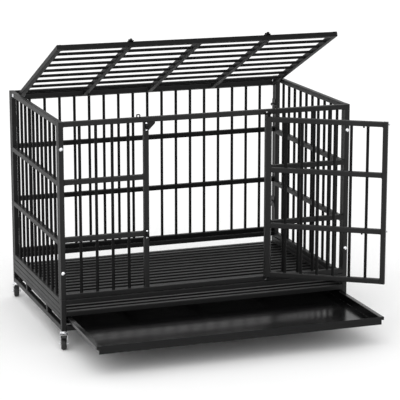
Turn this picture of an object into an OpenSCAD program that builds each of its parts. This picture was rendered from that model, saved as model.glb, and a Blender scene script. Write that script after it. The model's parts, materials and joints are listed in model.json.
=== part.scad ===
// Heavy duty dog crate on casters: welded tube panels bolted on a tube base, with a front door,
// a lifting lid, a slatted floor and a pull-out tray. Millimetres, +Z up, front towards -Y.
// The origin lies in the middle of the floor's upper face, on which a bed is laid.
// The door, the lid and the tray are drawn open, as the crate is shown.

/* [Crate] */
// Overall length along X, over the corner uprights
crate_length = 1220; // [1140:10:1300]
// Overall depth along Y, over the front and back panels
crate_depth = 792; // [772:4:840]
// Height of the top rails above the ground
crate_height = 906; // [880:2:940]
// Side of the square frame tube
tube = 20; // [19:0.5:21]
// Wall of the frame tube
tube_wall = 1.2; // [0.8:0.1:2]
// Diameter of the round bars
bar_dia = 12; // [10:0.5:12.5]
// Wall of the round bars, which are tubes too
bar_wall = 1; // [0.6:0.1:1.6]
// Radial play of a bar in its punched hole
bar_play = 0.1; // [0.05:0.01:0.2]
// Length of a bar inside the rail that holds its end
bar_seat = 6; // [4:0.5:9]
// Bars between the uprights of the back panel
back_bar_count = 17; // [13:2:21]
// Bars of the front panel on each side of the doorway
front_bar_count = 4; // [3:1:5]
// Space between the last front bar and the jamb, as a share of the bars' spacing
front_gap_share = 0.94; // [0.8:0.02:1]
// Bars of each side panel
side_bar_count = 10; // [8:1:12]

/* [Base] */
// Height of the base above the ground, which is that of the casters
caster_height = 72; // [70:0.5:80]
// Height of the base at the front and back, from its underside
base_height = 126; // [124:1:140]
// Height of the base at the sides, from its underside
base_side_height = 104; // [102:0.5:108]
// Height of the rails that carry the floor, from the underside of the base
floor_rail_height = 66; // [66:0.5:68]
// Distance of the struts in the base's sides from the middle
strut_y = 165; // [100:5:260]
// Seam between the base and the panels, filled by the connectors' collars
seam = 2; // [1:0.5:3]
// Length of the connector plugs inside the tubes
plug_length = 16; // [8:1:20]
// Play of a plug inside its tube, each side
plug_play = 0.1; // [0.05:0.01:0.3]
// Set-back of the connectors' collars from the tube faces
collar_inset = 1; // [0.5:0.25:2]
// Thickness of the caps in the tops of the uprights
cap_thickness = 4; // [3:0.5:8]

/* [Floor] */
// Number of floor slats
slat_count = 17; // [13:1:19]
// Width of a floor slat
slat_width = 20; // [14:1:24]
// Height of a floor slat
slat_height = 12; // [10:0.5:14]
// Wall of the floor slats and of the tubes at their ends
slat_wall = 1; // [0.8:0.1:1.6]
// Distance of the outer floor slats' middles from the base rails at the front and back
slat_inset = 28; // [24:0.5:56]
// Width of the cross bars under the slats
floor_bar_width = 30; // [20:1:50]
// Thickness of the cross bars under the slats
floor_bar_thickness = 5; // [3:0.5:6]
// Distance of the outer cross bars from the middle
floor_bar_x = 300; // [200:10:400]
// Play of the floor frame between the base rails, each side
floor_play = 0.5; // [0.3:0.1:1]

/* [Tray] */
// Gap between the tray, pushed in, and the back of the base
tray_back_gap = 2; // [2:0.5:60]
// Gap between the tray's lips and the base posts, each side
tray_clearance = 2; // [1:0.25:4]
// Height of the tray's walls
tray_height = 31; // [20:0.5:31]
// Thickness of the tray's sheet
tray_sheet = 0.8; // [0.6:0.1:1.2]
// Width of the flanges on the tray's side walls
tray_flange = 18; // [12:0.5:24]
// Depth of the lip on the flanges' outer edges
tray_lip = 13; // [8:0.5:15]
// Set-back of the front wall's ends, below the lips' depth, from the lips
tray_front_inset = 10; // [4:0.5:14]
// Distance that the tray is drawn out of the base
tray_out = 410; // [0:1:600]
// Height of the runners' tread above the underside of the base
runner_height = 25.3; // [23.5:0.1:25.3]
// Width of the runners' tread
runner_width = 34; // [30:1:44]
// Thickness of the runners
runner_sheet = 2; // [1.5:0.1:3]
// Gap between the tray's lips and the runners' webs under them
lip_gap = 1.5; // [1:0.1:3]
// Gap between the tray and its runners
runner_gap = 0.3; // [0.2:0.05:0.5]

/* [Door] */
// Width of the doorway between the jambs
doorway_width = 492; // [460:2:520]
// Gap between the door and each jamb
door_gap = 3; // [2.5:0.25:5]
// Gap between the door and the rails above and below it
door_end_gap = 5; // [4:0.5:8]
// Distance that the door stands in front of the panel's plane
door_forward = 0.5; // [0.4:0.1:1]
// Bars of the door
door_bar_count = 6; // [5:1:7]
// Angle that the door is drawn open
door_open = 146.3; // [0:0.1:150]
// Diameter of the hinge barrels
barrel_dia = 10; // [9:0.25:11]
// Diameter of the hinge pins
hinge_pin_dia = 6; // [5:0.25:6.5]
// Running play of the hinge pins, radial
pin_play = 0.08; // [0.03:0.01:0.1]
// Gap between a hinge barrel and the jamb's face
barrel_gap = 0.4; // [0.3:0.05:1]
// Length of the door's hinge barrels
door_barrel = 20; // [14:1:40]
// Length of the jamb's hinge barrels
jamb_barrel = 14; // [10:0.5:14]
// Gap between the two barrels of a hinge
barrel_step = 1; // [0.5:0.1:2]
// Width of the hinge leaves
leaf_width = 16; // [12:0.5:18]
// Distance of the hinge leaves' edges from the barrels' middle
leaf_edge = 1.5; // [1:0.25:2]
// Thickness of the hinge leaves
leaf_thickness = 3; // [2:0.25:3.5]
// Diameter of the hinge pins' heads
pin_head_dia = 9; // [8:0.25:10]
// Height of the hinge pins' heads
pin_head = 3; // [2:0.25:4]
// Width of the plate that stops the door in its upper free corner
stop_width = 33; // [20:1:40]
// Straight edge of the stop plate below the top rail
stop_edge = 10; // [4:1:16]
// Thickness of the stop plate
stop_thickness = 3; // [2:0.25:4]

/* [Door bolts] */
// Diameter of the door bolts
bolt_dia = 8; // [7:0.25:9]
// Play of a bolt in its guides, radial
bolt_play = 0.35; // [0.3:0.05:0.45]
// Stand-out of the drawn back door bolts past the door's edge
bolt_rest = 6.5; // [4:0.25:7]
// Travel of the door bolts
bolt_travel = 18; // [16:0.5:18]
// Gap between a handle and the nearer loop with the bolt shot
handle_gap = 14.5; // [14:0.5:24]
// Length of the handles, which are the bolts' ends turned down
handle_length = 15.5; // [12:0.5:30]
// Thickness of the guides' plates
guide_plate = 1.5; // [1:0.1:2]
// Length of the guides' plates
guide_length = 72; // [70:1:74]
// Distance of the guides' plates from the door's edge
guide_setback = 3; // [2:0.5:5]
// Gap between the bolts and the guides' plates
guide_lift = 1; // [0.7:0.1:1.5]
// Length of a guide loop along the bolt
loop_length = 10; // [8:0.5:12]
// Wall of the guide loops round the bolt
loop_wall = 2.5; // [2:0.1:3.5]
// Distance of the first loop's middle from the door's edge
loop_first = 11; // [10:0.5:14]
// Distance between the loops' middles
loop_step = 46; // [44:0.5:48]
// Diameter of the guide screws' heads
screw_head_dia = 5.5; // [4.5:0.25:5.5]
// Height of the guide screws' heads
screw_head = 1.6; // [1:0.1:2]
// Diameter of the guide screws
screw_dia = 3; // [2.5:0.1:3.5]
// Gap between the tips of the guide screws and the bars inside the rails
screw_tip_gap = 1; // [0.5:0.25:3]
// Radial play of a screw or bolt in its hole
screw_play = 0.1; // [0.05:0.01:0.2]
// Distance of the guide screws above and below the bolt
screw_offset = 7; // [6.9:0.1:7.2]
// Distance of the guide screws between the loops from the door's edge
screw_first = 34; // [24:0.5:46]
// Distance of the guide screws behind the loops from the door's edge
screw_second = 67; // [65:0.5:71]
// Drop of the bolts under the middles of the rails that carry them
bolt_drop = 2; // [1:0.25:3]
// Height of the guides' plates
guide_height = 20; // [19.5:0.25:22]

/* [Keepers] */
// Width of the keepers' straps along the bolt
keeper_width = 10; // [8:0.5:10]
// Thickness of the keepers' straps
keeper_strap = 2.5; // [2:0.1:3]
// Space round the bolt inside a keeper
keeper_space = 1.5; // [1:0.1:2]
// Length of a keeper's feet
keeper_foot = 10.5; // [9:0.5:12]
// Diameter of the keeper screws' domed heads
keeper_screw_head = 8; // [6:0.25:9]
// Height of the keeper screws' domed heads
keeper_screw_dome = 2.6; // [2:0.1:3]

/* [Lid] */
// Gap between the lid and each side rail
lid_side_gap = 3; // [2.5:0.25:5]
// Gap between the lid and the front and back rails
lid_end_gap = 5; // [4:0.5:8]
// Distance of the pivots from the inner face of the back panel
pivot_setback = 51; // [46:1:66]
// Rise of the lid above flush when shut
lid_rise = 0.4; // [0.3:0.05:1]
// Angle that the lid is drawn open
lid_open = 24.3; // [0:0.1:90]
// Number of lid slats
lid_slat_count = 8; // [6:1:8]
// Spacing of the lid slats
lid_slat_pitch = 78; // [74:1:80]
// Distance of the outer cross bars of the lid from the middle
lid_bar_x = 290; // [240:5:340]
// Running play of the pivot bolts in the lid, radial
pivot_play = 0.08; // [0.03:0.01:0.1]
// Gap between the pivot nuts and the lid
pivot_nut_gap = 0.5; // [0.4:0.1:1]

/* [Lid bolts] */
// Distance of the lid bolts from the middle
lid_bolt_x = 287; // [280:0.5:294]
// Diameter of the lid bolts
lid_bolt_dia = 6.5; // [5.5:0.25:6.75]
// Length of the lid bolts
lid_bolt_length = 60; // [56:1:80]
// Travel of the lid bolts
lid_bolt_travel = 16; // [14:0.5:16]
// Distance that the drawn back lid bolts stand past the lid's edge
lid_bolt_rest = 9; // [6:0.5:10]
// Overhang of the lid bolts' plates over the front rail
lid_plate_overhang = 10; // [8:0.5:11]
// Length of the lid bolts' plates
lid_plate_length = 60; // [56:1:66]
// Width of the lid bolts' plates
lid_plate_width = 20; // [16:0.5:22]
// Gap between the lid bolts and their plates
lid_bolt_lift = 0.6; // [0.5:0.05:0.8]
// Length of a lid bolt's loops
lid_loop_length = 8; // [6:0.5:9]
// Distance of the first loop's middle from the plate's front end
lid_loop_first = 10; // [8:0.5:12]
// Gap between a knob and the loop behind it
knob_gap = 1; // [0.75:0.25:3]
// Diameter of the knobs' stems
knob_stem_dia = 5; // [4:0.25:5]
// Height of the knobs over the lid bolts' middle
knob_height = 7; // [6.5:0.5:18]
// Diameter of the knobs
knob_dia = 7; // [6.5:0.25:8]
// Width of the eyes that take the lid bolts
eye_width = 15.5; // [15:0.25:20]
// Thickness of an eye along the bolt
eye_thickness = 8; // [3:0.25:8]
// Wall of the eyes
eye_wall = 3.2; // [2:0.1:3.5]
// Height of the eyes above the front rail
eye_height = 13; // [12.5:0.25:16]
// Distance of the eyes behind the front face
eye_setback = 5; // [4:0.25:7]

/* [Fasteners] */
// Diameter of the corner, pivot and plate bolts
fix_dia = 8; // [6:0.25:8]
// Diameter of their domed heads
fix_head_dia = 16; // [13:0.5:17]
// Height of their domed heads
fix_dome = 5; // [4:0.25:6]
// Width of the hexagon sockets across their corners
socket_dia = 6; // [4:0.25:7]
// Depth of the hexagon sockets
socket_depth = 2.5; // [1.5:0.1:3]
// Width of the nuts across their corners
nut_dia = 15; // [13:0.25:15]
// Height of the nuts
nut_height = 6.5; // [5:0.25:8]
// Length of a bolt past its nut
bolt_end = 2; // [0.5:0.25:4]
// Height of the lower corner bolts above the ground
corner_bolt_low = 306; // [220:2:390]
// Distance of the upper corner bolts below the crate's top
corner_bolt_drop = 106; // [46:2:216]
// Thickness of the plates that join the back corners
plate_thickness = 3; // [2:0.25:4]
// Height of the joining plates
plate_height = 48; // [40:1:60]
// Margin of the joining plates inside the two uprights
plate_margin = 2; // [1:0.25:4]
// Height of the lower joining plates' middles above the ground
plate_low = 337; // [260:1:390]
// Distance of the upper joining plates' middles below the crate's top
plate_drop = 126; // [61:1:186]
// Diameter of the plate bolts' heads
plate_head_dia = 13; // [12:0.25:15]
// Reach of the plate bolts into the uprights
plate_bolt_reach = 8; // [5:0.5:9]
// Height of the plate bolts' heads
plate_head = 8; // [5:0.25:8]

/* [Casters] */
// Diameter of the wheels
wheel_dia = 50; // [44:0.5:51]
// Width of the wheels
wheel_width = 22; // [18:0.5:22]
// Rounding of the treads, as a bevel
wheel_bevel = 3; // [2:0.25:5]
// Depth of the recess in the wheels' sides
wheel_recess = 3; // [2:0.25:5]
// Diameter of the wheels' hubs
hub_dia = 16; // [13:0.5:18]
// Distance of the axle from the swivel's axis
trail = 17; // [14:0.5:18]
// Angle that the casters are drawn turned
caster_turn = -15; // [-90:1:90]
// Diameter of the axles
axle_dia = 6; // [5:0.25:7]
// Running play of the wheels on the axles, radial
axle_play = 0.08; // [0.03:0.01:0.1]
// Diameter of the axles' riveted heads
axle_head_dia = 10; // [8.5:0.25:12]
// Height of the axles' riveted heads
axle_head = 3; // [2:0.25:4]
// Gap between a wheel and each fork cheek
cheek_gap = 2; // [1:0.25:3]
// Thickness of the fork's cheeks
cheek = 2.5; // [2:0.1:3]
// Radius of the fork's ends round the axle
fork_end_r = 8; // [6.5:0.25:9]
// Thickness of the fork's crown plate
crown = 3; // [2.5:0.1:3.5]
// Diameter of the bearing cup over the crown
cup_dia = 30; // [26:0.5:32]
// Height of the bearing cup
cup_height = 7; // [5:0.25:7]
// Gap between the cup and the flange above it
swivel_gap = 0.5; // [0.3:0.1:1]
// Diameter of the stems' flanges
flange_dia = 24; // [20:0.5:26]
// Thickness of the stems' flanges
flange = 2; // [1.5:0.1:3]
// Diameter of the swivel pins
swivel_dia = 10; // [8:0.25:12]
// Diameter of the riveted heads under the crown
rivet_dia = 15; // [13.5:0.25:17]
// Height of the riveted heads
rivet_head = 2.5; // [2:0.1:2.5]
// Length of the stems inside the posts
stem_length = 26; // [20:1:40]
// Distance of the brake levers' pivots ahead of the swivel's axis
brake_y = 30; // [28:0.5:32]
// Depth of the brake levers' pivots below the base
brake_drop = 16; // [14:0.5:17]
// Diameter of the brake levers' barrels
brake_barrel = 9; // [7.5:0.25:9]
// Diameter of the brake levers' pins
brake_pin_dia = 4; // [3:0.25:4.5]
// Length of the brake pedals
pedal_length = 26; // [18:0.5:28]
// Thickness of the brake pedals
pedal_thickness = 3.5; // [2.5:0.1:4]
// Gap between a brake lever and each fork cheek
brake_gap = 0.5; // [0.3:0.1:1]
// Slope of the brake pedals
pedal_slope = 8; // [0:0.5:10]
// Set-back of the brake pedals' edges from the ends of their barrels
pedal_inset = 1; // [0.5:0.25:3]

/* [Hidden] */
eps = 0.5;
ground = -caster_height - floor_rail_height - slat_height;
base_bottom = ground + caster_height;
crate_top = ground + crate_height;
corner_z = [ground + corner_bolt_low, crate_top - corner_bolt_drop];
joint_z = [ground + plate_low, crate_top - plate_drop];
half_l = crate_length / 2;
half_d = crate_depth / 2;
inner_x = half_l - tube;
inner_y = half_d - tube;
post_x = half_l - tube / 2;
panel_y = half_d - tube / 2;
side_y = inner_y - tube / 2;
side_reach = inner_y - tube;
bore = tube - 2 * tube_wall;
hole_dia = bar_dia + 2 * bar_play;
base_top = base_bottom + base_height;
base_side_top = base_bottom + base_side_height;
panel_z = base_top + seam;
side_z = base_side_top + seam;
rail_hi = crate_top - tube / 2;
rail_lo = panel_z + tube / 2;
rail_step = (rail_hi - rail_lo) / 3;
rail_z = [for (k = [0 : 3]) rail_lo + k * rail_step];
side_rail_lo = side_z + tube / 2;
side_rail_step = (rail_hi - side_rail_lo) / 3;
side_rail_z = [for (k = [0 : 3]) side_rail_lo + k * side_rail_step];
bar_pitch = 2 * inner_x / (back_bar_count + 1);
bar_last = (back_bar_count - 1) / 2;
back_bar_x = [for (k = [-bar_last : bar_last]) k * bar_pitch];
side_pitch = 2 * side_reach / (side_bar_count + 1);
side_bar_y = [for (k = [1 : side_bar_count]) -side_reach + k * side_pitch];
bar_z0 = panel_z + tube - bar_seat;
bar_z1 = crate_top - tube + bar_seat;
side_bar_z0 = side_z + tube - bar_seat;
jamb_x = doorway_width / 2 + tube / 2;
jamb_outer = doorway_width / 2 + tube;
front_span = inner_x - jamb_outer;
front_pitch = front_span / (front_bar_count + front_gap_share);
front_bar_x = [for (k = [1 : front_bar_count], s = [-1, 1]) s * (inner_x - k * front_pitch)];
jamb_z0 = panel_z + tube;
jamb_z1 = crate_top - tube;
plug = bore - 2 * plug_play;
fix_hole = fix_dia + 2 * screw_play;
dome_r = (fix_head_dia * fix_head_dia / 4 + fix_dome * fix_dome) / (2 * fix_dome);
keeper_dome_r = (keeper_screw_head * keeper_screw_head / 4 + keeper_screw_dome * keeper_screw_dome)
    / (2 * keeper_screw_dome);

floor_rail_top = base_bottom + floor_rail_height;
floor_top = floor_rail_top + slat_height;
floor_end_height = base_side_top - tube - floor_rail_top - floor_play;
slat_reach = inner_y - slat_inset;
slat_step = 2 * slat_reach / (slat_count - 1);
slat_bore = slat_height - 2 * slat_wall;
floor_end_bore = floor_end_height - 2 * slat_wall;

runner_top = base_bottom + runner_height;
tray_z = runner_top + runner_gap;
tray_front = -half_d - tray_out;
tray_length = half_d + inner_y - tray_back_gap;
tray_width = 2 * (inner_x - tray_clearance - tray_flange);
tray_front_width = tray_width + 2 * (tray_flange - tray_front_inset);
runner_web_top = tray_z + tray_height - tray_lip - lip_gap;
runner_web = runner_web_top - runner_top + runner_sheet;
tray_inner_width = tray_width - 2 * tray_sheet;
tray_inner_length = tray_length - 2 * tray_sheet;
tray_rim = tray_width / 2 + tray_flange;
tray_lip_x = tray_rim - tray_sheet / 2;
tray_lip_z = tray_height - tray_lip;
tray_front_half = tray_front_width / 2;

door_width = doorway_width - 2 * door_gap;
door_half = door_width / 2;
door_y = -panel_y - door_forward;
door_face = door_y - tube / 2;
door_z0 = jamb_z0 + door_end_gap;
door_z1 = jamb_z1 - door_end_gap;
door_inner = door_half - tube;
door_rail_z = [door_z0 + tube / 2, rail_z[1], rail_z[2], door_z1 - tube / 2];
door_pitch = (2 * door_inner - door_bar_count * bar_dia) / (door_bar_count + 1) + bar_dia;
door_bar_x = [for (k = [0 : door_bar_count - 1]) (k - (door_bar_count - 1) / 2) * door_pitch];
door_bar_z0 = door_z0 + tube - bar_seat;
door_bar_z1 = door_z1 - tube + bar_seat;
hinge_x = doorway_width / 2;
hinge_y = -half_d - barrel_gap - barrel_dia / 2;
pin_bore = hinge_pin_dia + 2 * pin_play;
bolt_z = [door_rail_z[1] - bolt_drop, door_rail_z[3] - bolt_drop];
bolt_y = door_face - guide_plate - guide_lift - bolt_dia / 2;
bolt_tip = -door_half - bolt_rest;
loop_end = loop_first + loop_step + loop_length / 2;
bolt_length = bolt_rest + loop_end + bolt_dia / 2 + bolt_travel + handle_gap;
bolt_bore = bolt_dia + 2 * bolt_play;
loop_half = bolt_bore / 2 + loop_wall;
loop_depth = door_face - guide_plate - bolt_y + loop_half;
screw_hole = screw_dia + 2 * screw_play;
screw_at = [screw_first, screw_second];
screw_length = guide_plate + (tube - bar_dia) / 2 - screw_tip_gap;
keeper_x = -jamb_x;
keeper_half = bolt_dia / 2 + keeper_space;
keeper_front = bolt_y - keeper_half;
keeper_screw_z = keeper_half + keeper_strap + keeper_foot / 2;

pivot_y = inner_y - pivot_setback;
lid_half = inner_x - lid_side_gap;
lid_reach = inner_y - lid_end_gap;
pivot_z = rail_hi + lid_rise;
lid_top = pivot_z + tube / 2;
lid_slat_y = [for (k = [0 : lid_slat_count - 1]) (k - (lid_slat_count - 1) / 2) * lid_slat_pitch];
lid_inner = lid_half - tube;
lid_plate_y = -lid_reach - lid_plate_overhang;
lid_bolt_z = lid_top + guide_plate + lid_bolt_lift + lid_bolt_dia / 2;
lid_bolt_tip = -lid_reach - lid_bolt_rest;
lid_bolt_bore = lid_bolt_dia + 2 * bolt_play;
lid_loop_step = lid_loop_length + knob_dia + lid_bolt_travel + 2 * knob_gap;
lid_loop_y = [lid_plate_y + lid_loop_first, lid_plate_y + lid_loop_first + lid_loop_step];
knob_y = lid_loop_y[1] - lid_loop_length / 2 - knob_dia / 2 - knob_gap;
eye_y = -half_d + eye_setback;

axle_z = ground + wheel_dia / 2;
cup_top = base_bottom - flange - swivel_gap;
crown_z = cup_top - cup_height - crown;
cheek_x = wheel_width / 2 + cheek_gap;
swivel_play = axle_play;
brake_z = base_bottom - brake_drop;
caster_at = [[-1, -1], [1, -1], [-1, 1], [1, 1]];
$fn = 48;

paint = [0.09, 0.09, 0.095];
plastic = [0.05, 0.05, 0.05];
zinc = [0.72, 0.73, 0.75];

// Square tube along X, Y or Z, its middle on the origin
module tube_x(length) {
    difference() {
        cube([length, tube, tube], center = true);
        cube([length + 2 * eps, bore, bore], center = true);
    }
}

module tube_y(length) {
    rotate([0, 0, 90])
        tube_x(length);
}

module tube_z(length) {
    rotate([0, 90, 0])
        tube_x(length);
}

// Upright tube from one height to another
module upright(z0, z1) {
    translate([0, 0, (z0 + z1) / 2])
        tube_z(z1 - z0);
}

// Round bar from one height to another
module bar(z0, z1) {
    translate([0, 0, z0])
        difference() {
            cylinder(h = z1 - z0, d = bar_dia);
            translate([0, 0, -eps])
                cylinder(h = z1 - z0 + 2 * eps, d = bar_dia - 2 * bar_wall);
        }
}

// Cylinder along X or Y, its middle on the origin
module rod_x(length, dia) {
    rotate([0, 90, 0])
        cylinder(h = length, d = dia, center = true);
}

module rod_y(length, dia) {
    rotate([90, 0, 0])
        cylinder(h = length, d = dia, center = true);
}

// Domed head standing on the origin along +Z, with a hexagon socket
module dome(radius, base_dia, height) {
    difference() {
        intersection() {
            translate([0, 0, height - radius])
                sphere(radius);
            cylinder(h = height, d = base_dia + 2 * eps);
        }
        translate([0, 0, height - socket_depth])
            cylinder(h = socket_depth + eps, d = socket_dia, $fn = 6);
    }
}

// Bolt with a domed head on the origin, its shank going down -Z
module domed_bolt(length) {
    dome(dome_r, fix_head_dia, fix_dome);
    translate([0, 0, -length])
        cylinder(h = length + (fix_dome - socket_depth) / 2, d = fix_dia);
}

module nut() {
    difference() {
        cylinder(h = nut_height, d = nut_dia, $fn = 6);
        translate([0, 0, -eps])
            cylinder(h = nut_height + 2 * eps, d = fix_hole);
    }
}

// Holes for the bars through rails that lie along X, from one height to another
module bar_holes(xs, y, z0, z1) {
    for (x = xs)
        translate([x, y, z0])
            cylinder(h = z1 - z0, d = hole_dia);
}

// Turns the door, drawn shut, to where it stands open
module door_pose() {
    translate([hinge_x, hinge_y, 0])
        rotate([0, 0, door_open])
            translate([-hinge_x, -hinge_y, 0])
                children();
}

// Turns the lid, drawn shut, to where it stands open
module lid_pose() {
    translate([0, pivot_y, pivot_z])
        rotate([-lid_open, 0, 0])
            translate([0, -pivot_y, -pivot_z])
                children();
}

module front_uprights() {
    color(paint)
        difference() {
            union() {
                for (s = [-1, 1]) {
                    translate([s * post_x, -panel_y, 0])
                        upright(panel_z, crate_top);
                    translate([s * jamb_x, -panel_y, 0])
                        upright(jamb_z0, jamb_z1);
                }
            }
            for (s = [-1, 1], z = corner_z)
                translate([s * post_x, -panel_y, z])
                    rod_y(tube + 2 * eps, fix_hole);
            for (z = bolt_z, s = [-1, 1])
                translate([keeper_x, -half_d, z + s * keeper_screw_z])
                    rod_y(2 * screw_length, screw_hole);
        }
}

module front_rails() {
    color(paint)
        difference() {
            union() {
                for (z = [rail_z[0], rail_z[3]])
                    translate([0, -panel_y, z])
                        tube_x(2 * inner_x);
                for (z = [rail_z[1], rail_z[2]], s = [-1, 1])
                    translate([s * (jamb_outer + front_span / 2), -panel_y, z])
                        tube_x(front_span);
            }
            bar_holes(front_bar_x, -panel_y, bar_z0 - eps, bar_z1 + eps);
        }
}

module front_bars() {
    color(paint)
        for (x = front_bar_x)
            translate([x, -panel_y, 0])
                bar(bar_z0, bar_z1);
}

// Hole for a plate bolt through the inner wall of an upright at the back
module plate_bolt_holes(y) {
    for (s = [-1, 1], z = joint_z)
        translate([s * inner_x, y, z])
            rod_x(tube, fix_hole);
}

module back_uprights() {
    color(paint)
        difference() {
            for (s = [-1, 1])
                translate([s * post_x, panel_y, 0])
                    upright(panel_z, crate_top);
            plate_bolt_holes(panel_y);
        }
}

module back_rails() {
    color(paint)
        difference() {
            for (z = rail_z)
                translate([0, panel_y, z])
                    tube_x(2 * inner_x);
            bar_holes(back_bar_x, panel_y, bar_z0 - eps, bar_z1 + eps);
        }
}

module back_bars() {
    color(paint)
        for (x = back_bar_x)
            translate([x, panel_y, 0])
                bar(bar_z0, bar_z1);
}

// Uprights of the side panel on side s
module side_uprights(s) {
    color(paint)
        difference() {
            for (t = [-1, 1])
                translate([s * post_x, t * side_y, 0])
                    upright(side_z, crate_top);
            for (z = corner_z)
                translate([s * post_x, -side_y, z])
                    rod_y(tube + 2 * eps, fix_hole);
            plate_bolt_holes(side_y);
        }
}

// Rails of the side panel on side s
module side_rails(s) {
    color(paint)
        difference() {
            for (z = side_rail_z)
                translate([s * post_x, 0, z])
                    tube_y(2 * side_reach);
            for (y = side_bar_y)
                translate([s * post_x, y, side_bar_z0 - eps])
                    cylinder(h = bar_z1 - side_bar_z0 + 2 * eps, d = hole_dia);
            translate([s * post_x, pivot_y, pivot_z])
                rod_x(tube + 2 * eps, fix_hole);
        }
}

// Bars of the side panel on side s
module side_bars(s) {
    color(paint)
        for (y = side_bar_y)
            translate([s * post_x, y, 0])
                bar(side_bar_z0, bar_z1);
}

module left_uprights() {
    side_uprights(-1);
}

module left_rails() {
    side_rails(-1);
}

module left_bars() {
    side_bars(-1);
}

module right_uprights() {
    side_uprights(1);
}

module right_rails() {
    side_rails(1);
}

module right_bars() {
    side_bars(1);
}

module upright_caps() {
    color(plastic)
        for (s = [-1, 1], y = [-panel_y, -side_y, side_y, panel_y])
            translate([s * post_x, y, crate_top - cap_thickness / 2])
                cube([plug, plug, cap_thickness], center = true);
}

module base_posts() {
    color(paint)
        for (c = caster_at)
            translate([c[0] * post_x, c[1] * panel_y, 0])
                upright(base_bottom, base_top);
}

module base_long_rails() {
    color(paint)
        for (t = [-1, 1], z = [base_bottom + tube, floor_top, base_top])
            translate([0, t * panel_y, z - tube / 2])
                tube_x(2 * inner_x);
}

module base_side_rails() {
    color(paint)
        for (s = [-1, 1], z = [base_bottom + tube, floor_rail_top, base_side_top])
            translate([s * post_x, 0, z - tube / 2])
                tube_y(2 * inner_y);
}

module base_struts() {
    color(paint)
        for (s = [-1, 1], t = [-1, 1])
            translate([s * post_x, t * strut_y, 0])
                upright(base_bottom + tube, floor_rail_top - tube);
}

module corner_connectors() {
    color(plastic) {
        for (c = caster_at)
            translate([c[0] * post_x, c[1] * panel_y, base_top + seam / 2]) {
                cube([tube - 2 * collar_inset, tube - 2 * collar_inset, seam], center = true);
                cube([plug, plug, seam + 2 * plug_length], center = true);
            }
        for (c = caster_at)
            translate([c[0] * post_x, c[1] * side_y, base_side_top]) {
                translate([0, 0, seam / 2])
                    cube([tube - 2 * collar_inset, tube - 2 * collar_inset, seam], center = true);
                translate([0, 0, (seam + plug_length) / 2])
                    cube([plug, plug, seam + plug_length], center = true);
            }
    }
}

module floor_frame() {
    color(paint) {
        for (s = [-1, 1])
            translate([s * post_x, 0, floor_rail_top + floor_end_height / 2])
                difference() {
                    cube([tube, 2 * inner_y - 2 * floor_play, floor_end_height], center = true);
                    cube([tube - 2 * slat_wall, 2 * inner_y, floor_end_bore], center = true);
                }
        for (x = [-floor_bar_x, 0, floor_bar_x])
            translate([x, 0, floor_rail_top - floor_bar_thickness / 2])
                cube([floor_bar_width, 2 * inner_y, floor_bar_thickness], center = true);
    }
}

module floor_slats() {
    color(paint)
        for (k = [0 : slat_count - 1])
            translate([0, -slat_reach + k * slat_step, floor_rail_top + slat_height / 2])
                difference() {
                    cube([2 * inner_x, slat_width, slat_height], center = true);
                    cube([2 * half_l, slat_width - 2 * slat_wall, slat_bore], center = true);
                }
}

module tray_runners() {
    color(paint)
        for (s = [-1, 1]) {
            translate([s * (inner_x - runner_width / 2), 0, runner_top - runner_sheet / 2])
                cube([runner_width, 2 * inner_y - 2 * floor_play, runner_sheet], center = true);
            translate([s * (inner_x - runner_sheet / 2), 0, runner_web_top - runner_web / 2])
                cube([runner_sheet, 2 * inner_y - 2 * floor_play, runner_web], center = true);
        }
}

// One folded sheet: a pan with flanges and lips along its two sides, whose ends the front wall closes
module tray() {
    color(paint)
        translate([0, tray_front + tray_length / 2, tray_z]) {
            difference() {
                translate([0, 0, tray_height / 2])
                    cube([tray_width, tray_length, tray_height], center = true);
                translate([0, 0, tray_height / 2 + tray_sheet])
                    cube([tray_inner_width, tray_inner_length, tray_height], center = true);
            }
            translate([0, -tray_length / 2 + tray_sheet, 0])
                rotate([90, 0, 0])
                    linear_extrude(tray_sheet)
                        polygon([
                            [-tray_front_half, 0], [tray_front_half, 0],
                            [tray_front_half, tray_lip_z], [tray_rim, tray_lip_z],
                            [tray_rim, tray_height], [-tray_rim, tray_height],
                            [-tray_rim, tray_lip_z], [-tray_front_half, tray_lip_z]
                        ]);
            for (s = [-1, 1]) {
                translate([s * (tray_width + tray_flange) / 2, 0, tray_height - tray_sheet / 2])
                    cube([tray_flange, tray_length, tray_sheet], center = true);
                translate([s * tray_lip_x, 0, tray_height - tray_lip / 2])
                    cube([tray_sheet, tray_length, tray_lip], center = true);
            }
        }
}

module corner_bolts() {
    color(zinc)
        for (s = [-1, 1], z = corner_z)
            translate([s * post_x, -half_d, z])
                rotate([90, 0, 0])
                    domed_bolt(2 * tube + nut_height + bolt_end);
}

module lock_nuts() {
    color(zinc) {
        for (s = [-1, 1], z = corner_z)
            translate([s * post_x, -side_reach, z])
                rotate([-90, 0, 0])
                    nut();
        for (s = [-1, 1])
            translate([s * (lid_inner - pivot_nut_gap), pivot_y, pivot_z])
                rotate([0, -s * 90, 0])
                    nut();
    }
}

module joining_plates() {
    color(paint)
        difference() {
            for (s = [-1, 1], z = joint_z)
                translate([s * (inner_x - plate_thickness / 2), inner_y, z])
                    cube([plate_thickness, 2 * tube - 2 * plate_margin, plate_height], center = true);
            plate_bolt_holes(side_y);
            plate_bolt_holes(panel_y);
        }
}

module plate_bolts() {
    color(zinc)
        for (s = [-1, 1], z = joint_z, y = [side_y, panel_y])
            translate([s * (inner_x - plate_thickness), y, z])
                rotate([0, s * 90, 0]) {
                    translate([0, 0, -plate_head])
                        cylinder(h = plate_head, d = plate_head_dia, $fn = 6);
                    cylinder(h = plate_thickness + plate_bolt_reach, d = fix_dia);
                }
}

module lid_pivot_bolts() {
    color(zinc)
        for (s = [-1, 1])
            translate([s * half_l, pivot_y, pivot_z])
                rotate([0, s * 90, 0])
                    domed_bolt(half_l - lid_inner + pivot_nut_gap + nut_height + bolt_end);
}

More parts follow.
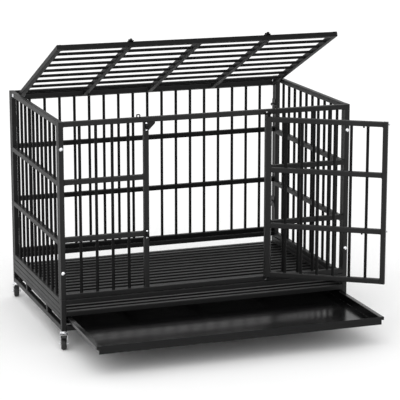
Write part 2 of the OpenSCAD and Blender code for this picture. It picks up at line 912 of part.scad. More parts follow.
module lid_eyes() {
    color(paint)
        for (s = [-1, 1])
            translate([s * lid_bolt_x, eye_y, crate_top])
                difference() {
                    translate([-eye_width / 2, -eye_thickness / 2, 0])
                        cube([eye_width, eye_thickness, eye_height]);
                    translate([-eye_width / 2 + eye_wall, -eye_thickness, -eps])
                        cube([eye_width - 2 * eye_wall, 2 * eye_thickness, eye_height - eye_wall + eps]);
                }
}

// Plate behind the top rail and the left jamb, cut across the corner of the doorway
module door_stop_plate() {
    color(paint)
        translate([-doorway_width / 2, -inner_y + stop_thickness, jamb_z1])
            rotate([90, 0, 0])
                linear_extrude(stop_thickness)
                    polygon([
                        [-tube / 2, -stop_edge - stop_width], [0, -stop_edge - stop_width],
                        [stop_width, -stop_edge], [stop_width, tube / 2], [-tube / 2, tube / 2]
                    ]);
}

module door_keepers() {
    depth = -half_d - keeper_front;
    outer = keeper_half + keeper_strap;
    color(plastic)
        difference() {
            for (z = bolt_z)
                translate([keeper_x - keeper_width / 2, 0, z]) {
                    translate([0, keeper_front - keeper_strap, -outer])
                        cube([keeper_width, depth + keeper_strap, 2 * outer]);
                    translate([0, -half_d - keeper_strap, -outer - keeper_foot])
                        cube([keeper_width, keeper_strap, 2 * (outer + keeper_foot)]);
                }
            for (z = bolt_z) {
                translate([keeper_x - keeper_width, keeper_front, z - keeper_half])
                    cube([2 * keeper_width, depth + eps, 2 * keeper_half]);
                for (s = [-1, 1])
                    translate([keeper_x, -half_d, z + s * keeper_screw_z])
                        rod_y(2 * screw_length, screw_hole);
            }
        }
}

module keeper_screws() {
    color(zinc)
        for (z = bolt_z, s = [-1, 1])
            translate([keeper_x, -half_d - keeper_strap, z + s * keeper_screw_z])
                rotate([90, 0, 0]) {
                    intersection() {
                        translate([0, 0, keeper_screw_dome - keeper_dome_r])
                            sphere(keeper_dome_r);
                        cylinder(h = keeper_screw_dome, d = keeper_screw_head + 2 * eps);
                    }
                    translate([0, 0, -screw_length])
                        cylinder(h = screw_length + keeper_screw_dome / 2, d = screw_dia);
                }
}

// Hinge barrel on the hinge axis with a leaf on side s of it, from one height up
module hinge_barrel(z0, length, s, leaf_y) {
    difference() {
        translate([hinge_x, hinge_y, z0]) {
            cylinder(h = length, d = barrel_dia);
            translate([s * (leaf_edge + leaf_width / 2), leaf_y - leaf_thickness / 2 - hinge_y, length / 2])
                cube([leaf_width, leaf_thickness, length], center = true);
        }
        translate([hinge_x, hinge_y, z0 - eps])
            cylinder(h = length + 2 * eps, d = pin_bore);
    }
}

module jamb_hinge_barrels() {
    color(plastic) {
        hinge_barrel(door_z1 + barrel_step, jamb_barrel, 1, -half_d);
        hinge_barrel(door_z0 - barrel_step - jamb_barrel, jamb_barrel, 1, -half_d);
    }
}

module door_hinge_barrels() {
    color(paint)
        door_pose() {
            hinge_barrel(door_z1 - door_barrel, door_barrel, -1, door_face);
            hinge_barrel(door_z0, door_barrel, -1, door_face);
        }
}

module door_hinge_pins() {
    length = jamb_barrel + barrel_step + door_barrel;
    color(zinc)
        translate([hinge_x, hinge_y, 0]) {
            translate([0, 0, door_z1 - door_barrel])
                cylinder(h = length, d = hinge_pin_dia);
            translate([0, 0, door_z1 + barrel_step + jamb_barrel])
                cylinder(h = pin_head, d = pin_head_dia);
            translate([0, 0, door_z0 + door_barrel - length])
                cylinder(h = length, d = hinge_pin_dia);
            translate([0, 0, door_z0 - barrel_step - jamb_barrel - pin_head])
                cylinder(h = pin_head, d = pin_head_dia);
        }
}

// Stem in a post's end, with the flange and the riveted pin that the fork turns on
module caster_stems() {
    color(zinc)
        for (c = caster_at)
            translate([c[0] * post_x, c[1] * panel_y, 0]) {
                translate([0, 0, base_bottom + stem_length / 2])
                    cube([plug, plug, stem_length], center = true);
                translate([0, 0, base_bottom - flange])
                    cylinder(h = flange, d = flange_dia);
                translate([0, 0, crown_z - swivel_gap])
                    cylinder(h = base_bottom - crown_z + swivel_gap, d = swivel_dia);
                translate([0, 0, crown_z - swivel_gap - rivet_head])
                    cylinder(h = rivet_head, d = rivet_dia);
            }
}

module door_uprights() {
    color(paint)
        door_pose()
            for (s = [-1, 1])
                translate([s * (door_half - tube / 2), door_y, 0])
                    upright(door_z0, door_z1);
}

// Holes for the guide screws through the plates and the front walls of the door's rails
module guide_screw_holes() {
    for (z = bolt_z, d = screw_at, s = [-1, 1])
        translate([-door_half + d, door_face, z + s * screw_offset])
            rod_y(2 * screw_length, screw_hole);
}

module door_rails() {
    color(paint)
        door_pose()
            difference() {
                for (z = door_rail_z)
                    translate([0, door_y, z])
                        tube_x(2 * door_inner);
                bar_holes(door_bar_x, door_y, door_bar_z0 - eps, door_bar_z1 + eps);
                guide_screw_holes();
            }
}

module door_bars() {
    color(paint)
        door_pose()
            for (x = door_bar_x)
                translate([x, door_y, 0])
                    bar(door_bar_z0, door_bar_z1);
}

module door_bolt_guides() {
    color(plastic)
        door_pose()
            difference() {
                for (z = bolt_z) {
                    translate([-door_half + guide_setback, door_face - guide_plate, z - guide_height / 2])
                        cube([guide_length, guide_plate, guide_height]);
                    for (d = [loop_first, loop_first + loop_step])
                        translate([-door_half + d - loop_length / 2, bolt_y - loop_half, z - loop_half])
                            cube([loop_length, loop_depth, 2 * loop_half]);
                }
                for (z = bolt_z)
                    translate([-door_half + guide_length / 2, bolt_y, z])
                        rod_x(2 * guide_length, bolt_bore);
                guide_screw_holes();
            }
}

module guide_screws() {
    color(zinc)
        door_pose()
            for (z = bolt_z, d = screw_at, s = [-1, 1])
                translate([-door_half + d, door_face - guide_plate, z + s * screw_offset])
                    rotate([90, 0, 0]) {
                        cylinder(h = screw_head, d = screw_head_dia);
                        translate([0, 0, -screw_length])
                            cylinder(h = screw_length + screw_head / 2, d = screw_dia);
                    }
}

// Bolt at one height of the door, its inner end turned down as the handle
module door_bolt(z) {
    color(zinc)
        door_pose()
            translate([bolt_tip, bolt_y, z]) {
                translate([bolt_length / 2, 0, 0])
                    rod_x(bolt_length, bolt_dia);
                translate([bolt_length, 0, 0])
                    sphere(d = bolt_dia);
                translate([bolt_length, 0, -handle_length])
                    cylinder(h = handle_length, d = bolt_dia);
                translate([bolt_length, 0, -handle_length])
                    sphere(d = bolt_dia);
            }
}

module upper_door_bolt() {
    door_bolt(bolt_z[1]);
}

module lower_door_bolt() {
    door_bolt(bolt_z[0]);
}

module lid_side_rails() {
    color(paint)
        lid_pose()
            difference() {
                for (s = [-1, 1])
                    translate([s * (lid_half - tube / 2), 0, pivot_z])
                        tube_y(2 * lid_reach);
                for (s = [-1, 1])
                    translate([s * (lid_half - tube / 2), pivot_y, pivot_z])
                        rod_x(tube + 2 * eps, fix_dia + 2 * pivot_play);
                for (s = [-1, 1], y = lid_slat_y)
                    translate([s * lid_inner, y, pivot_z])
                        rod_x(2 * bar_seat + 2 * eps, hole_dia);
            }
}

module lid_end_rails() {
    color(paint)
        lid_pose()
            for (t = [-1, 1])
                translate([0, t * (lid_reach - tube / 2), pivot_z])
                    tube_x(2 * lid_inner);
}

module lid_cross_bars() {
    color(paint)
        lid_pose()
            difference() {
                for (x = [-lid_bar_x, 0, lid_bar_x])
                    translate([x, 0, pivot_z])
                        tube_y(2 * lid_reach - 2 * tube);
                for (y = lid_slat_y)
                    translate([0, y, pivot_z])
                        rod_x(2 * lid_inner, hole_dia);
            }
}

module lid_slats() {
    color(paint)
        lid_pose()
            for (y = lid_slat_y)
                translate([0, y, pivot_z])
                    difference() {
                        rod_x(2 * (lid_inner + bar_seat), bar_dia);
                        rod_x(2 * half_l, bar_dia - 2 * bar_wall);
                    }
}

module lid_bolt_guides() {
    loop_half_x = lid_bolt_bore / 2 + loop_wall;
    loop_height = lid_bolt_z + loop_half_x - lid_top;
    color(plastic)
        lid_pose()
            for (s = [-1, 1])
                difference() {
                    union() {
                        translate([s * lid_bolt_x - lid_plate_width / 2, lid_plate_y, lid_top])
                            cube([lid_plate_width, lid_plate_length, guide_plate]);
                        for (y = lid_loop_y)
                            translate([s * lid_bolt_x - loop_half_x, y - lid_loop_length / 2, lid_top])
                                cube([2 * loop_half_x, lid_loop_length, loop_height]);
                    }
                    translate([s * lid_bolt_x, lid_plate_y + lid_plate_length / 2, lid_bolt_z])
                        rod_y(2 * lid_plate_length, lid_bolt_bore);
                }
}

// Bolt of the lid on side s, with its knob between the guide's loops
module lid_bolt(s) {
    color(paint)
        lid_pose()
            translate([s * lid_bolt_x, 0, lid_bolt_z]) {
                translate([0, lid_bolt_tip + lid_bolt_length / 2, 0])
                    rod_y(lid_bolt_length, lid_bolt_dia);
                translate([0, knob_y, 0])
                    cylinder(h = knob_height, d = knob_stem_dia);
                translate([0, knob_y, knob_height])
                    sphere(d = knob_dia);
            }
}

module left_lid_bolt() {
    lid_bolt(-1);
}

module right_lid_bolt() {
    lid_bolt(1);
}

// Places a caster drawn at the origin with its wheel trailing towards -Y under corner c
module at_caster(c) {
    translate([c[0] * post_x, c[1] * panel_y, 0])
        rotate([0, 0, caster_turn + (c[1] > 0 ? 180 : 0)])
            children();
}

// Fork with its bearing cup, and the axle riveted through its ends
module fork(c, braked) {
    span = 2 * (cheek_x + cheek);
    color(zinc)
        at_caster(c) {
            difference() {
                union() {
                    translate([0, 0, crown_z + crown])
                        cylinder(h = cup_height, d = cup_dia);
                    translate([-span / 2, -cup_dia / 2, crown_z])
                        cube([span, cup_dia, crown]);
                    for (x = [-cheek_x - cheek, cheek_x])
                        translate([x, 0, 0]) {
                            rotate([90, 0, 90])
                                linear_extrude(cheek)
                                    polygon([
                                        [cup_dia / 2, crown_z + crown], [-cup_dia / 2, crown_z + crown],
                                        [-trail - fork_end_r, axle_z], [-trail + fork_end_r, axle_z]
                                    ]);
                            translate([0, -trail, axle_z])
                                rotate([0, 90, 0])
                                    cylinder(h = cheek, r = fork_end_r);
                            if (braked)
                                rotate([90, 0, 90])
                                    linear_extrude(cheek)
                                        polygon([
                                            [-cup_dia / 2 + crown, crown_z + crown],
                                            [-brake_y - brake_barrel / 2, brake_z + brake_barrel / 2],
                                            [-brake_y - brake_barrel / 2, brake_z - brake_barrel / 2],
                                            [-trail, axle_z + fork_end_r]
                                        ]);
                        }
                }
                translate([0, 0, crown_z - eps])
                    cylinder(h = crown + cup_height + 2 * eps, d = swivel_dia + 2 * swivel_play);
                translate([0, -trail, axle_z])
                    rod_x(span + 2 * eps, axle_dia + 2 * screw_play);
                if (braked)
                    translate([0, -brake_y, brake_z])
                        rod_x(span + 2 * eps, brake_pin_dia + 2 * axle_play);
            }
            translate([0, -trail, axle_z]) {
                rod_x(span + axle_head, axle_dia);
                for (s = [-1, 1])
                    translate([s * (span + axle_head) / 2, 0, 0])
                        rod_x(axle_head, axle_head_dia);
            }
        }
}

module front_left_fork() {
    fork(caster_at[0], true);
}

module front_right_fork() {
    fork(caster_at[1], true);
}

module back_left_fork() {
    fork(caster_at[2], false);
}

module back_right_fork() {
    fork(caster_at[3], false);
}

module wheel(c) {
    bore_r = axle_dia / 2 + axle_play;
    rim_r = wheel_dia / 2 - 2 * wheel_bevel;
    w = wheel_width / 2;
    color(plastic)
        at_caster(c)
            translate([0, -trail, axle_z])
                rotate([0, 90, 0])
                    rotate_extrude()
                        polygon([
                            [bore_r, -w], [hub_dia / 2, -w], [hub_dia / 2, -w + wheel_recess],
                            [rim_r, -w + wheel_recess], [rim_r, -w], [wheel_dia / 2 - wheel_bevel, -w],
                            [wheel_dia / 2, -w + wheel_bevel], [wheel_dia / 2, w - wheel_bevel],
                            [wheel_dia / 2 - wheel_bevel, w], [rim_r, w], [rim_r, w - wheel_recess],
                            [hub_dia / 2, w - wheel_recess], [hub_dia / 2, w], [bore_r, w]
                        ]);
}

module front_left_wheel() {
    wheel(caster_at[0]);
}

module front_right_wheel() {
    wheel(caster_at[1]);
}

module back_left_wheel() {
    wheel(caster_at[2]);
}

module back_right_wheel() {
    wheel(caster_at[3]);
}

// Brake lever: a barrel with its pin between the fork's cheeks, and the pedal ahead of it
module brake(c) {
    width = 2 * cheek_x - 2 * brake_gap;
    color(plastic)
        at_caster(c)
            translate([0, -brake_y, brake_z]) {
                rod_x(width, brake_barrel);
                rod_x(2 * (cheek_x + cheek), brake_pin_dia);
                rotate([-pedal_slope, 0, 0])
                    translate([-width / 2 + pedal_inset, -pedal_length, -pedal_thickness / 2])
                        cube([width - 2 * pedal_inset, pedal_length, pedal_thickness]);
            }
}

module front_left_brake() {
    brake(caster_at[0]);
}

module front_right_brake() {
    brake(caster_at[1]);
}

front_uprights();
front_rails();
front_bars();
back_uprights();
back_rails();
back_bars();
left_uprights();
left_rails();
left_bars();
right_uprights();
right_rails();
right_bars();
upright_caps();
base_posts();
base_long_rails();
base_side_rails();
base_struts();
corner_connectors();
floor_frame();
floor_slats();
tray_runners();
corner_bolts();
lock_nuts();
joining_plates();
plate_bolts();
lid_pivot_bolts();
lid_eyes();
door_stop_plate();
door_keepers();
keeper_screws();
jamb_hinge_barrels();
door_hinge_pins();
caster_stems();
door_uprights();
door_rails();
door_bars();
door_hinge_barrels();
door_bolt_guides();
guide_screws();
upper_door_bolt();
lower_door_bolt();
lid_side_rails();
lid_end_rails();
lid_cross_bars();
lid_slats();
lid_bolt_guides();
left_lid_bolt();
right_lid_bolt();
tray();
front_left_fork();
front_right_fork();
back_left_fork();
back_right_fork();
front_left_wheel();
front_right_wheel();
back_left_wheel();
back_right_wheel();
front_left_brake();
front_right_brake();
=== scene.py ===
"""Visual model of the heavy duty dog crate: welded tubes, folded sheet and turned fasteners."""

import json
import math
from itertools import cycle
from types import SimpleNamespace

import bmesh
import bpy
import numpy as np
from bpy.props import FloatProperty, FloatVectorProperty, IntProperty, PointerProperty
from mathutils import Euler, Matrix, Vector

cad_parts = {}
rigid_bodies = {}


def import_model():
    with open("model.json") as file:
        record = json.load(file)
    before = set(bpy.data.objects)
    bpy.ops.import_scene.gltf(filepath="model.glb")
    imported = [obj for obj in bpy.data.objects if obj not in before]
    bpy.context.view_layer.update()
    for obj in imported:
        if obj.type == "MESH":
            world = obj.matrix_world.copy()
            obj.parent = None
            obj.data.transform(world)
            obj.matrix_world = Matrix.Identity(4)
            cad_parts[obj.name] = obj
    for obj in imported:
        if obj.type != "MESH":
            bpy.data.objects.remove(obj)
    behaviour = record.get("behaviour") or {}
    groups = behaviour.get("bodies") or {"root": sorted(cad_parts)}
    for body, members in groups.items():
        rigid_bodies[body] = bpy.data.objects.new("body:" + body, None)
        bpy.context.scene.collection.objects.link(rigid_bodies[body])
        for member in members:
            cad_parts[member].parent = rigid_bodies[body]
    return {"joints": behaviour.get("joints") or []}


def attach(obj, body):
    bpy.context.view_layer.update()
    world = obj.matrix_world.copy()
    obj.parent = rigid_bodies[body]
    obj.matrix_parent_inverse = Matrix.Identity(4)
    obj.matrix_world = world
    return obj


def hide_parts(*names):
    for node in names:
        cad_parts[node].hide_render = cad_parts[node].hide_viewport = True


for started_with in list(bpy.data.objects):
    bpy.data.objects.remove(started_with)
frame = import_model()

bl_info = {
    "name": "Heavy Duty Dog Crate",
    "version": (1, 0, 0),
    "blender": (4, 5, 0),
    "location": "View3D > Sidebar > Crate",
    "description": "Builds the visual model of a welded dog crate on casters over its CAD frame",
    "category": "Object",
}

JOINTS = {joint["name"]: joint for joint in frame["joints"]}
DOOR_HINGE, LID_HINGE = JOINTS["door_hinge"], JOINTS["lid_hinge"]
SIGNS = (-1, 1)
SIDES = {"left": -1, "right": 1}
CORNERS = {
    "front_left": (-1, -1),
    "front_right": (1, -1),
    "back_left": (-1, 1),
    "back_right": (1, 1),
}

# Details in metres: fasteners, fittings and sheet pieces.
CHAMFER = 0.0004
BOLT = SimpleNamespace(size=0.008, head=0.016, rise=0.005, socket=0.006, depth=0.0025, seat=-0.0002)
NUT = SimpleNamespace(width=0.015, height=0.0065, bore=0.0082)
PLATE = SimpleNamespace(sheet=0.003, height=0.048, margin=0.002, head=0.013, head_height=0.008)
STOP = SimpleNamespace(width=0.033, edge=0.010)
EYE = SimpleNamespace(wall=0.0032, half=0.00775, height=0.013, front=0.001, back=0.009)
BARREL = SimpleNamespace(bore=0.00616, door=0.020, jamb=0.014, gap=0.001)
LEAF = SimpleNamespace(sheet=0.003, near=0.0034, far=0.0175)
GUIDE = SimpleNamespace(plate=0.0015, half=0.010, wall=0.0022, play=0.00035)
KEEPER = SimpleNamespace(sheet=0.0025, gap=0.0015, foot=0.0115, bend=0.0022, screw=0.01325)
KNOB = SimpleNamespace(ball=0.007, stem=0.005, height=0.007)
RUNNER = SimpleNamespace(sheet=0.002, bend=0.003)
SOCKET = SimpleNamespace(height=0.026, play=0.0013)
FORK = SimpleNamespace(crown=0.003, half=0.015, rounding=0.008, axle=0.006)
LEVER = SimpleNamespace(barrel=0.009, pin=0.004, sheet=0.0035)

# Places in metres of the guides' plates, loops and screws: from the door's edge, and along Y.
DOOR_GUIDE = SimpleNamespace(low=0.003, high=0.075, loops=(0.011, 0.057), screws=(0.034, 0.067))
LID_GUIDE = SimpleNamespace(low=-0.381, high=-0.321, loops=(-0.371, -0.338))


def length(name, description, default):
    """A size in metres."""
    return FloatProperty(
        name=name,
        description=description,
        default=default,
        unit="LENGTH",
        subtype="DISTANCE",
        precision=4,
    )


def angle(name, description, degrees):
    """An angle, given in degrees."""
    return FloatProperty(
        name=name,
        description=description,
        default=math.radians(degrees),
        unit="ROTATION",
        subtype="ANGLE",
    )


def colour(name, description, default):
    """A linear colour."""
    return FloatVectorProperty(
        name=name,
        description=description,
        default=default,
        size=3,
        min=0.0,
        max=1.0,
        subtype="COLOR",
    )


def count(name, description, default):
    """A number of like pieces."""
    return IntProperty(name=name, description=description, default=default, min=1)


def plain(name, description, default):
    """A number without a unit."""
    return FloatProperty(name=name, description=description, default=default)


def even(low, high, number):
    """Evenly spaced values with both ends."""
    return [low + (high - low) * k / (number - 1) for k in range(number)]


class CRATE_PG_frame(bpy.types.PropertyGroup):
    half_length: length("Half length", "Half of the length over the corner uprights", 0.610)
    half_depth: length("Half depth", "Half of the depth over the panels", 0.396)
    top: length("Top", "Height of the top rails over the floor", 0.756)
    panel_foot: length("Panel foot", "Height of the long panels' feet over the floor", 0.050)
    side_foot: length("Side foot", "Height of the side panels' feet over the floor", 0.028)
    base_foot: length("Base foot", "Height of the base's underside over the floor", -0.078)
    seam: length("Seam", "Gap between the base and the panels", 0.002)
    tube: length("Tube", "Side of the square tube", 0.020)
    tube_round: length("Tube rounding", "Corner radius of the square tube", 0.0024)
    tube_wall: length("Tube wall", "Wall of the square tube", 0.0012)
    bar: length("Bar", "Diameter of the round bars", 0.012)
    bar_seat: length("Bar seat", "Length of a bar inside the rail that holds it", 0.006)
    back_bars: count("Back bars", "Bars of the back panel", 17)
    front_bars: count("Front bars", "Bars of the front panel on each side of the doorway", 4)
    front_gap: plain("Front gap", "Last gap of the front bars as a share of their spacing", 0.94)
    side_bars: count("Side bars", "Bars of a side panel", 10)
    strut_y: length("Struts", "Distance of the base's struts from the middle", 0.165)
    doorway: length("Doorway", "Width between the jambs", 0.492)
    bead: length("Weld bead", "Radius of the weld beads", 0.0021)

    @property
    def half(self):
        """Half of the tube."""
        return self.tube / 2

    @property
    def post(self):
        """Place of the corner uprights' middles along X."""
        return self.half_length - self.half

    @property
    def panel(self):
        """Place of the long panels' middles along Y."""
        return self.half_depth - self.half

    @property
    def inner_x(self):
        """Place of the corner uprights' inner faces along X."""
        return self.half_length - self.tube

    @property
    def inner_y(self):
        """Place of the long panels' inner faces along Y."""
        return self.half_depth - self.tube

    @property
    def side(self):
        """Place of the side panels' uprights' middles along Y."""
        return self.inner_y - self.half

    @property
    def reach(self):
        """Place of the side panels' uprights' inner faces along Y."""
        return self.inner_y - self.tube

    def levels(self, foot):
        """Middles of the four rails of a panel."""
        return even(foot + self.half, self.top - self.half, 4)


class CRATE_PG_floor(bpy.types.PropertyGroup):
    slats: count("Slats", "Number of floor slats", 17)
    reach: length("Reach", "Distance of the outer slats from the middle", 0.348)
    width: length("Slat width", "Width of a floor slat", 0.020)
    height: length("Slat height", "Height of a floor slat", 0.012)
    bar_x: length("Cross bars", "Distance of the outer cross bars from the middle", 0.300)
    bar_width: length("Cross bar width", "Width of a cross bar", 0.030)
    bar_height: length("Cross bar height", "Thickness of a cross bar", 0.005)
    end_top: length("End tube top", "Height of the end tubes over the floor", 0.0055)


class CRATE_PG_tray(bpy.types.PropertyGroup):
    front: length("Front", "Place of the front wall along Y", -0.806)
    length: length("Length", "Length of the tray along Y", 0.770)
    width: length("Width", "Width of the pan", 1.140)
    front_width: length("Front width", "Width of the front wall below the lips", 1.156)
    bottom: length("Bottom", "Height of the underside over the floor", -0.0524)
    height: length("Height", "Height of the walls", 0.031)
    flange: length("Flange", "Width of the side flanges", 0.018)
    lip: length("Lip", "Depth of the lips on the flanges", 0.013)
    sheet: length("Sheet", "Thickness of the sheet", 0.0008)
    bend: length("Bend", "Radius of the folds", 0.0018)
    runner: length("Runner", "Width of the runners' tread", 0.034)
    runner_top: length("Runner top", "Height of the runners' tread over the floor", -0.0527)
    web_top: length("Runner web top", "Height of the runners' webs over the floor", -0.0359)


class CRATE_PG_fasteners(bpy.types.PropertyGroup):
    corner_low: length("Lower corner bolts", "Height of the lower corner bolts", 0.156)
    corner_high: length("Upper corner bolts", "Height of the upper corner bolts", 0.650)
    corner_length: length("Corner bolt length", "Length of the corner bolts", 0.0485)
    pivot_length: length("Pivot bolt length", "Length of the lid's pivot bolts", 0.052)
    nut_x: length("Pivot nuts", "Distance of the pivot bolts' nuts from the middle", 0.5665)
    plate_low: length("Lower plates", "Height of the lower joining plates' middles", 0.187)
    plate_high: length("Upper plates", "Height of the upper joining plates' middles", 0.630)


class CRATE_PG_door(bpy.types.PropertyGroup):
    half: length("Half width", "Half of the door's width", 0.243)
    low: length("Bottom", "Height of the door's bottom edge over the floor", 0.075)
    high: length("Top", "Height of the door's top edge over the floor", 0.731)
    middle_y: length("Plane", "Place of the door's plane along Y when shut", -0.3865)
    bars: count("Bars", "Bars of the door", 6)
    open: angle("Open", "Angle that the door stands open", -DOOR_HINGE["range_deg"][0])
    hinge_x: length("Hinge X", "Place of the hinge axis along X", DOOR_HINGE["pos_m"][0])
    hinge_y: length("Hinge Y", "Place of the hinge axis along Y", DOOR_HINGE["pos_m"][1])
    barrel: length("Barrel", "Diameter of the hinge barrels", 0.010)
    bolt: length("Bolt", "Diameter of the slide bolts", 0.008)
    bolt_y: length("Bolt Y", "Place of the slide bolts along Y when shut", -0.403)
    bolt_tip: length("Bolt tip", "Place of the slide bolts' tips along X when shut", -0.2495)
    bolt_length: length("Bolt length", "Length of the slide bolts", 0.105)
    bolt_bend: length("Bolt bend", "Radius of the slide bolts' bends", 0.006)
    bolt_upper: length("Upper bolt", "Height of the upper slide bolt over the floor", 0.719)
    bolt_lower: length("Lower bolt", "Height of the lower slide bolt over the floor", 0.28667)
    handle: length("Handle", "Length of the turned down ends", 0.0155)


class CRATE_PG_lid(bpy.types.PropertyGroup):
    half: length("Half length", "Half of the lid's length", 0.587)
    reach: length("Half depth", "Half of the lid's depth", 0.371)
    level: length("Level", "Height of the shut lid's middle plane", LID_HINGE["pos_m"][2])
    pivot_y: length("Pivot", "Place of the pivot axis along Y", LID_HINGE["pos_m"][1])
    open: angle("Open", "Angle that the lid stands open", -LID_HINGE["range_deg"][0])
    slats: count("Slats", "Round slats of the lid", 8)
    pitch: length("Slat pitch", "Distance between the lid's slats", 0.078)
    bar_x: length("Cross bars", "Distance of the outer cross bars from the middle", 0.290)
    bolt: length("Bolt", "Diameter of the lid's slide bolts", 0.0065)
    bolt_x: length("Bolt X", "Distance of the lid's slide bolts from the middle", 0.287)
    bolt_level: length("Bolt level", "Height of the lid's slide bolts when shut", 0.76175)
    bolt_tip: length("Bolt tip", "Place of the bolts' tips along Y when shut", -0.380)
    bolt_length: length("Bolt length", "Length of the lid's slide bolts", 0.060)
    knob_y: length("Knob", "Place of the knobs along Y when shut", -0.3465)


class CRATE_PG_casters(bpy.types.PropertyGroup):
    wheel: length("Wheel", "Diameter of the wheels", 0.050)
    wheel_width: length("Wheel width", "Width of the wheels", 0.022)
    tread_round: length("Tread rounding", "Radius of the tread's shoulders", 0.0072)
    trail: length("Trail", "Distance of the axle from the swivel's axis", 0.017)
    turn: angle("Turn", "Angle that the casters are turned", -15.0)
    axle_level: length("Axle level", "Height of the axles over the floor", -0.125)
    crown_level: length("Crown level", "Height of the forks' crowns over the floor", -0.0905)
    cheek_x: length("Cheek", "Distance of the cheeks from the middle of a wheel", 0.013)
    cheek: length("Cheek sheet", "Thickness of the fork's sheet", 0.0025)
    brake_y: length("Brake pivot", "Distance of the brakes' pivots from the swivel", 0.030)
    brake_level: length("Brake level", "Height of the brakes' pivots over the floor", -0.094)
    pedal: length("Pedal", "Length of the brake pedals", 0.026)
    pedal_slope: angle("Pedal slope", "Slope of the brake pedals", 8.0)
    ribs: count("Grip ribs", "Ribs on a brake pedal", 4)


class CRATE_PG_colours(bpy.types.PropertyGroup):
    paint: colour("Paint", "Powder coat of the tubes", (0.0018, 0.0018, 0.0019))
    bar: colour("Bars", "Enamel of the round bars", (0.0020, 0.0020, 0.0021))
    tray: colour("Tray", "Paint of the tray", (0.0022, 0.0022, 0.0023))
    plastic: colour("Plastic", "Caps, connectors, pedals and handle ends", (0.008, 0.008, 0.0085))
    zinc: colour("Zinc", "Fasteners, pins and forks", (0.80, 0.81, 0.83))
    dark_zinc: colour("Dark zinc", "Nuts and bolts on the inside", (0.055, 0.055, 0.058))
    rubber: colour("Rubber", "Wheels", (0.008, 0.008, 0.0085))
    dust: colour("Dust", "Dust in the rubber", (0.06, 0.058, 0.054))
    wear: colour("Wear", "Paint that is rubbed thin on the edges", (0.035, 0.035, 0.036))
    ground: colour("Ground", "The floor that the crate stands on", (0.975, 0.975, 0.975))


class CRATE_PG_stage(bpy.types.PropertyGroup):
    ground: length("Ground", "Height of the ground under the crate's floor", -0.150)
    extent: length("Extent", "Half width of the ground", 40.0)
    key: plain("Key light", "Strength of the key light", 1.5)
    key_way: FloatVectorProperty(
        name="Key direction",
        description="Direction that the key light shines in",
        default=(0.35, 0.80, -0.75),
        subtype="DIRECTION",
    )
    softness: angle("Softness", "Width of the key light as it is seen from the ground", 60.0)
    sky: plain("Sky", "Strength of the surrounding light", 0.80)
    lens: plain("Lens", "Focal length in millimetres", 163.27)
    camera: FloatVectorProperty(
        name="Camera",
        description="Place of the camera",
        default=(-2.3837, -7.0161, 2.0210),
        unit="LENGTH",
        subtype="TRANSLATION",
    )
    tilt: angle("Tilt", "Angle of the camera from straight down", 77.07)
    heading: angle("Heading", "Angle of the camera from the crate's depth", -19.54)


class CRATE_PG_all(bpy.types.PropertyGroup):
    frame: PointerProperty(type=CRATE_PG_frame)
    floor: PointerProperty(type=CRATE_PG_floor)
    tray: PointerProperty(type=CRATE_PG_tray)
    fasteners: PointerProperty(type=CRATE_PG_fasteners)
    door: PointerProperty(type=CRATE_PG_door)
    lid: PointerProperty(type=CRATE_PG_lid)
    casters: PointerProperty(type=CRATE_PG_casters)
    colours: PointerProperty(type=CRATE_PG_colours)
    stage: PointerProperty(type=CRATE_PG_stage)


class Wire:
    """A socket of a node tree that makes Math nodes when it is calculated with."""

    def __init__(self, tree, socket):
        self.tree = tree
        self.socket = socket

    def node(self, kind, settings, values, out=0):
        """A node of the same tree."""
        return add_node(self.tree, kind, settings, values, out)

    def math(self, operation, other):
        """A Math node of this and another value."""
        return self.node("ShaderNodeMath", {"operation": operation}, {0: self, 1: other})

    def __add__(self, other):
        return self.math("ADD", other)

    def __mul__(self, other):
        return self.math("MULTIPLY", other)

    __radd__ = __add__
    __rmul__ = __mul__

    def ramp(self, low, high):
        """0 below low, 1 above high, smooth between."""
        smooth = {"interpolation_type": "SMOOTHSTEP"}
        return self.node("ShaderNodeMapRange", smooth, {0: self, 1: low, 2: high})

    def blend(self, first, second):
        """First colour where this is 0, second where it is 1."""
        values = {0: self, 6: first, 7: second}
        return self.node("ShaderNodeMix", {"data_type": "RGBA"}, values, 2)

    def noise(self, scale, detail, stretch=None):
        """Noise over this place, stretched along an axis if wanted."""
        place = self.node("ShaderNodeMapping", {}, {0: self, 3: stretch}) if stretch else self
        values = {"Vector": place, "Scale": scale, "Detail": detail}
        return self.node("ShaderNodeTexNoise", {}, values)

    def bumps(self, distance):
        """A normal that is bent as this height says."""
        values = {"Strength": 1.0, "Distance": distance, "Height": self}
        return self.node("ShaderNodeBump", {}, values)


def add_node(tree, kind, settings, values, out=0):
    """A node: its settings first, then its socket values or links; returns one output as a Wire."""
    made = tree.nodes.new(kind)
    for key, value in settings.items():
        setattr(made, key, value)
    for key, value in values.items():
        socket = made.inputs[key]
        if isinstance(value, Wire):
            tree.links.new(value.socket, socket)
        elif isinstance(value, tuple) and len(value) == 3 and socket.type == "RGBA":
            socket.default_value = (*value, 1.0)
        else:
            socket.default_value = value
    return Wire(tree, made.outputs[out]) if len(made.outputs) else made


def surface(name, recipe):
    """A material whose recipe gets the object place and returns the shader's values and links."""
    found = bpy.data.materials.get(name)
    if found:
        return found
    made = bpy.data.materials.new(name)
    made.use_nodes = True
    tree = made.node_tree
    tree.nodes.clear()
    place = add_node(tree, "ShaderNodeTexCoord", {}, {}, "Object")
    shader = add_node(tree, "ShaderNodeBsdfPrincipled", {}, recipe(place))
    add_node(tree, "ShaderNodeOutputMaterial", {}, {"Surface": shader})
    return made


def edge_of(place):
    """How much of a rounded edge a place is: an attribute of the meshes."""
    return place.node("ShaderNodeAttribute", {"attribute_name": "edge"}, {}, "Fac")


def times(tone, factor):
    """A paler or darker tone."""
    return tuple(c * factor for c in tone)


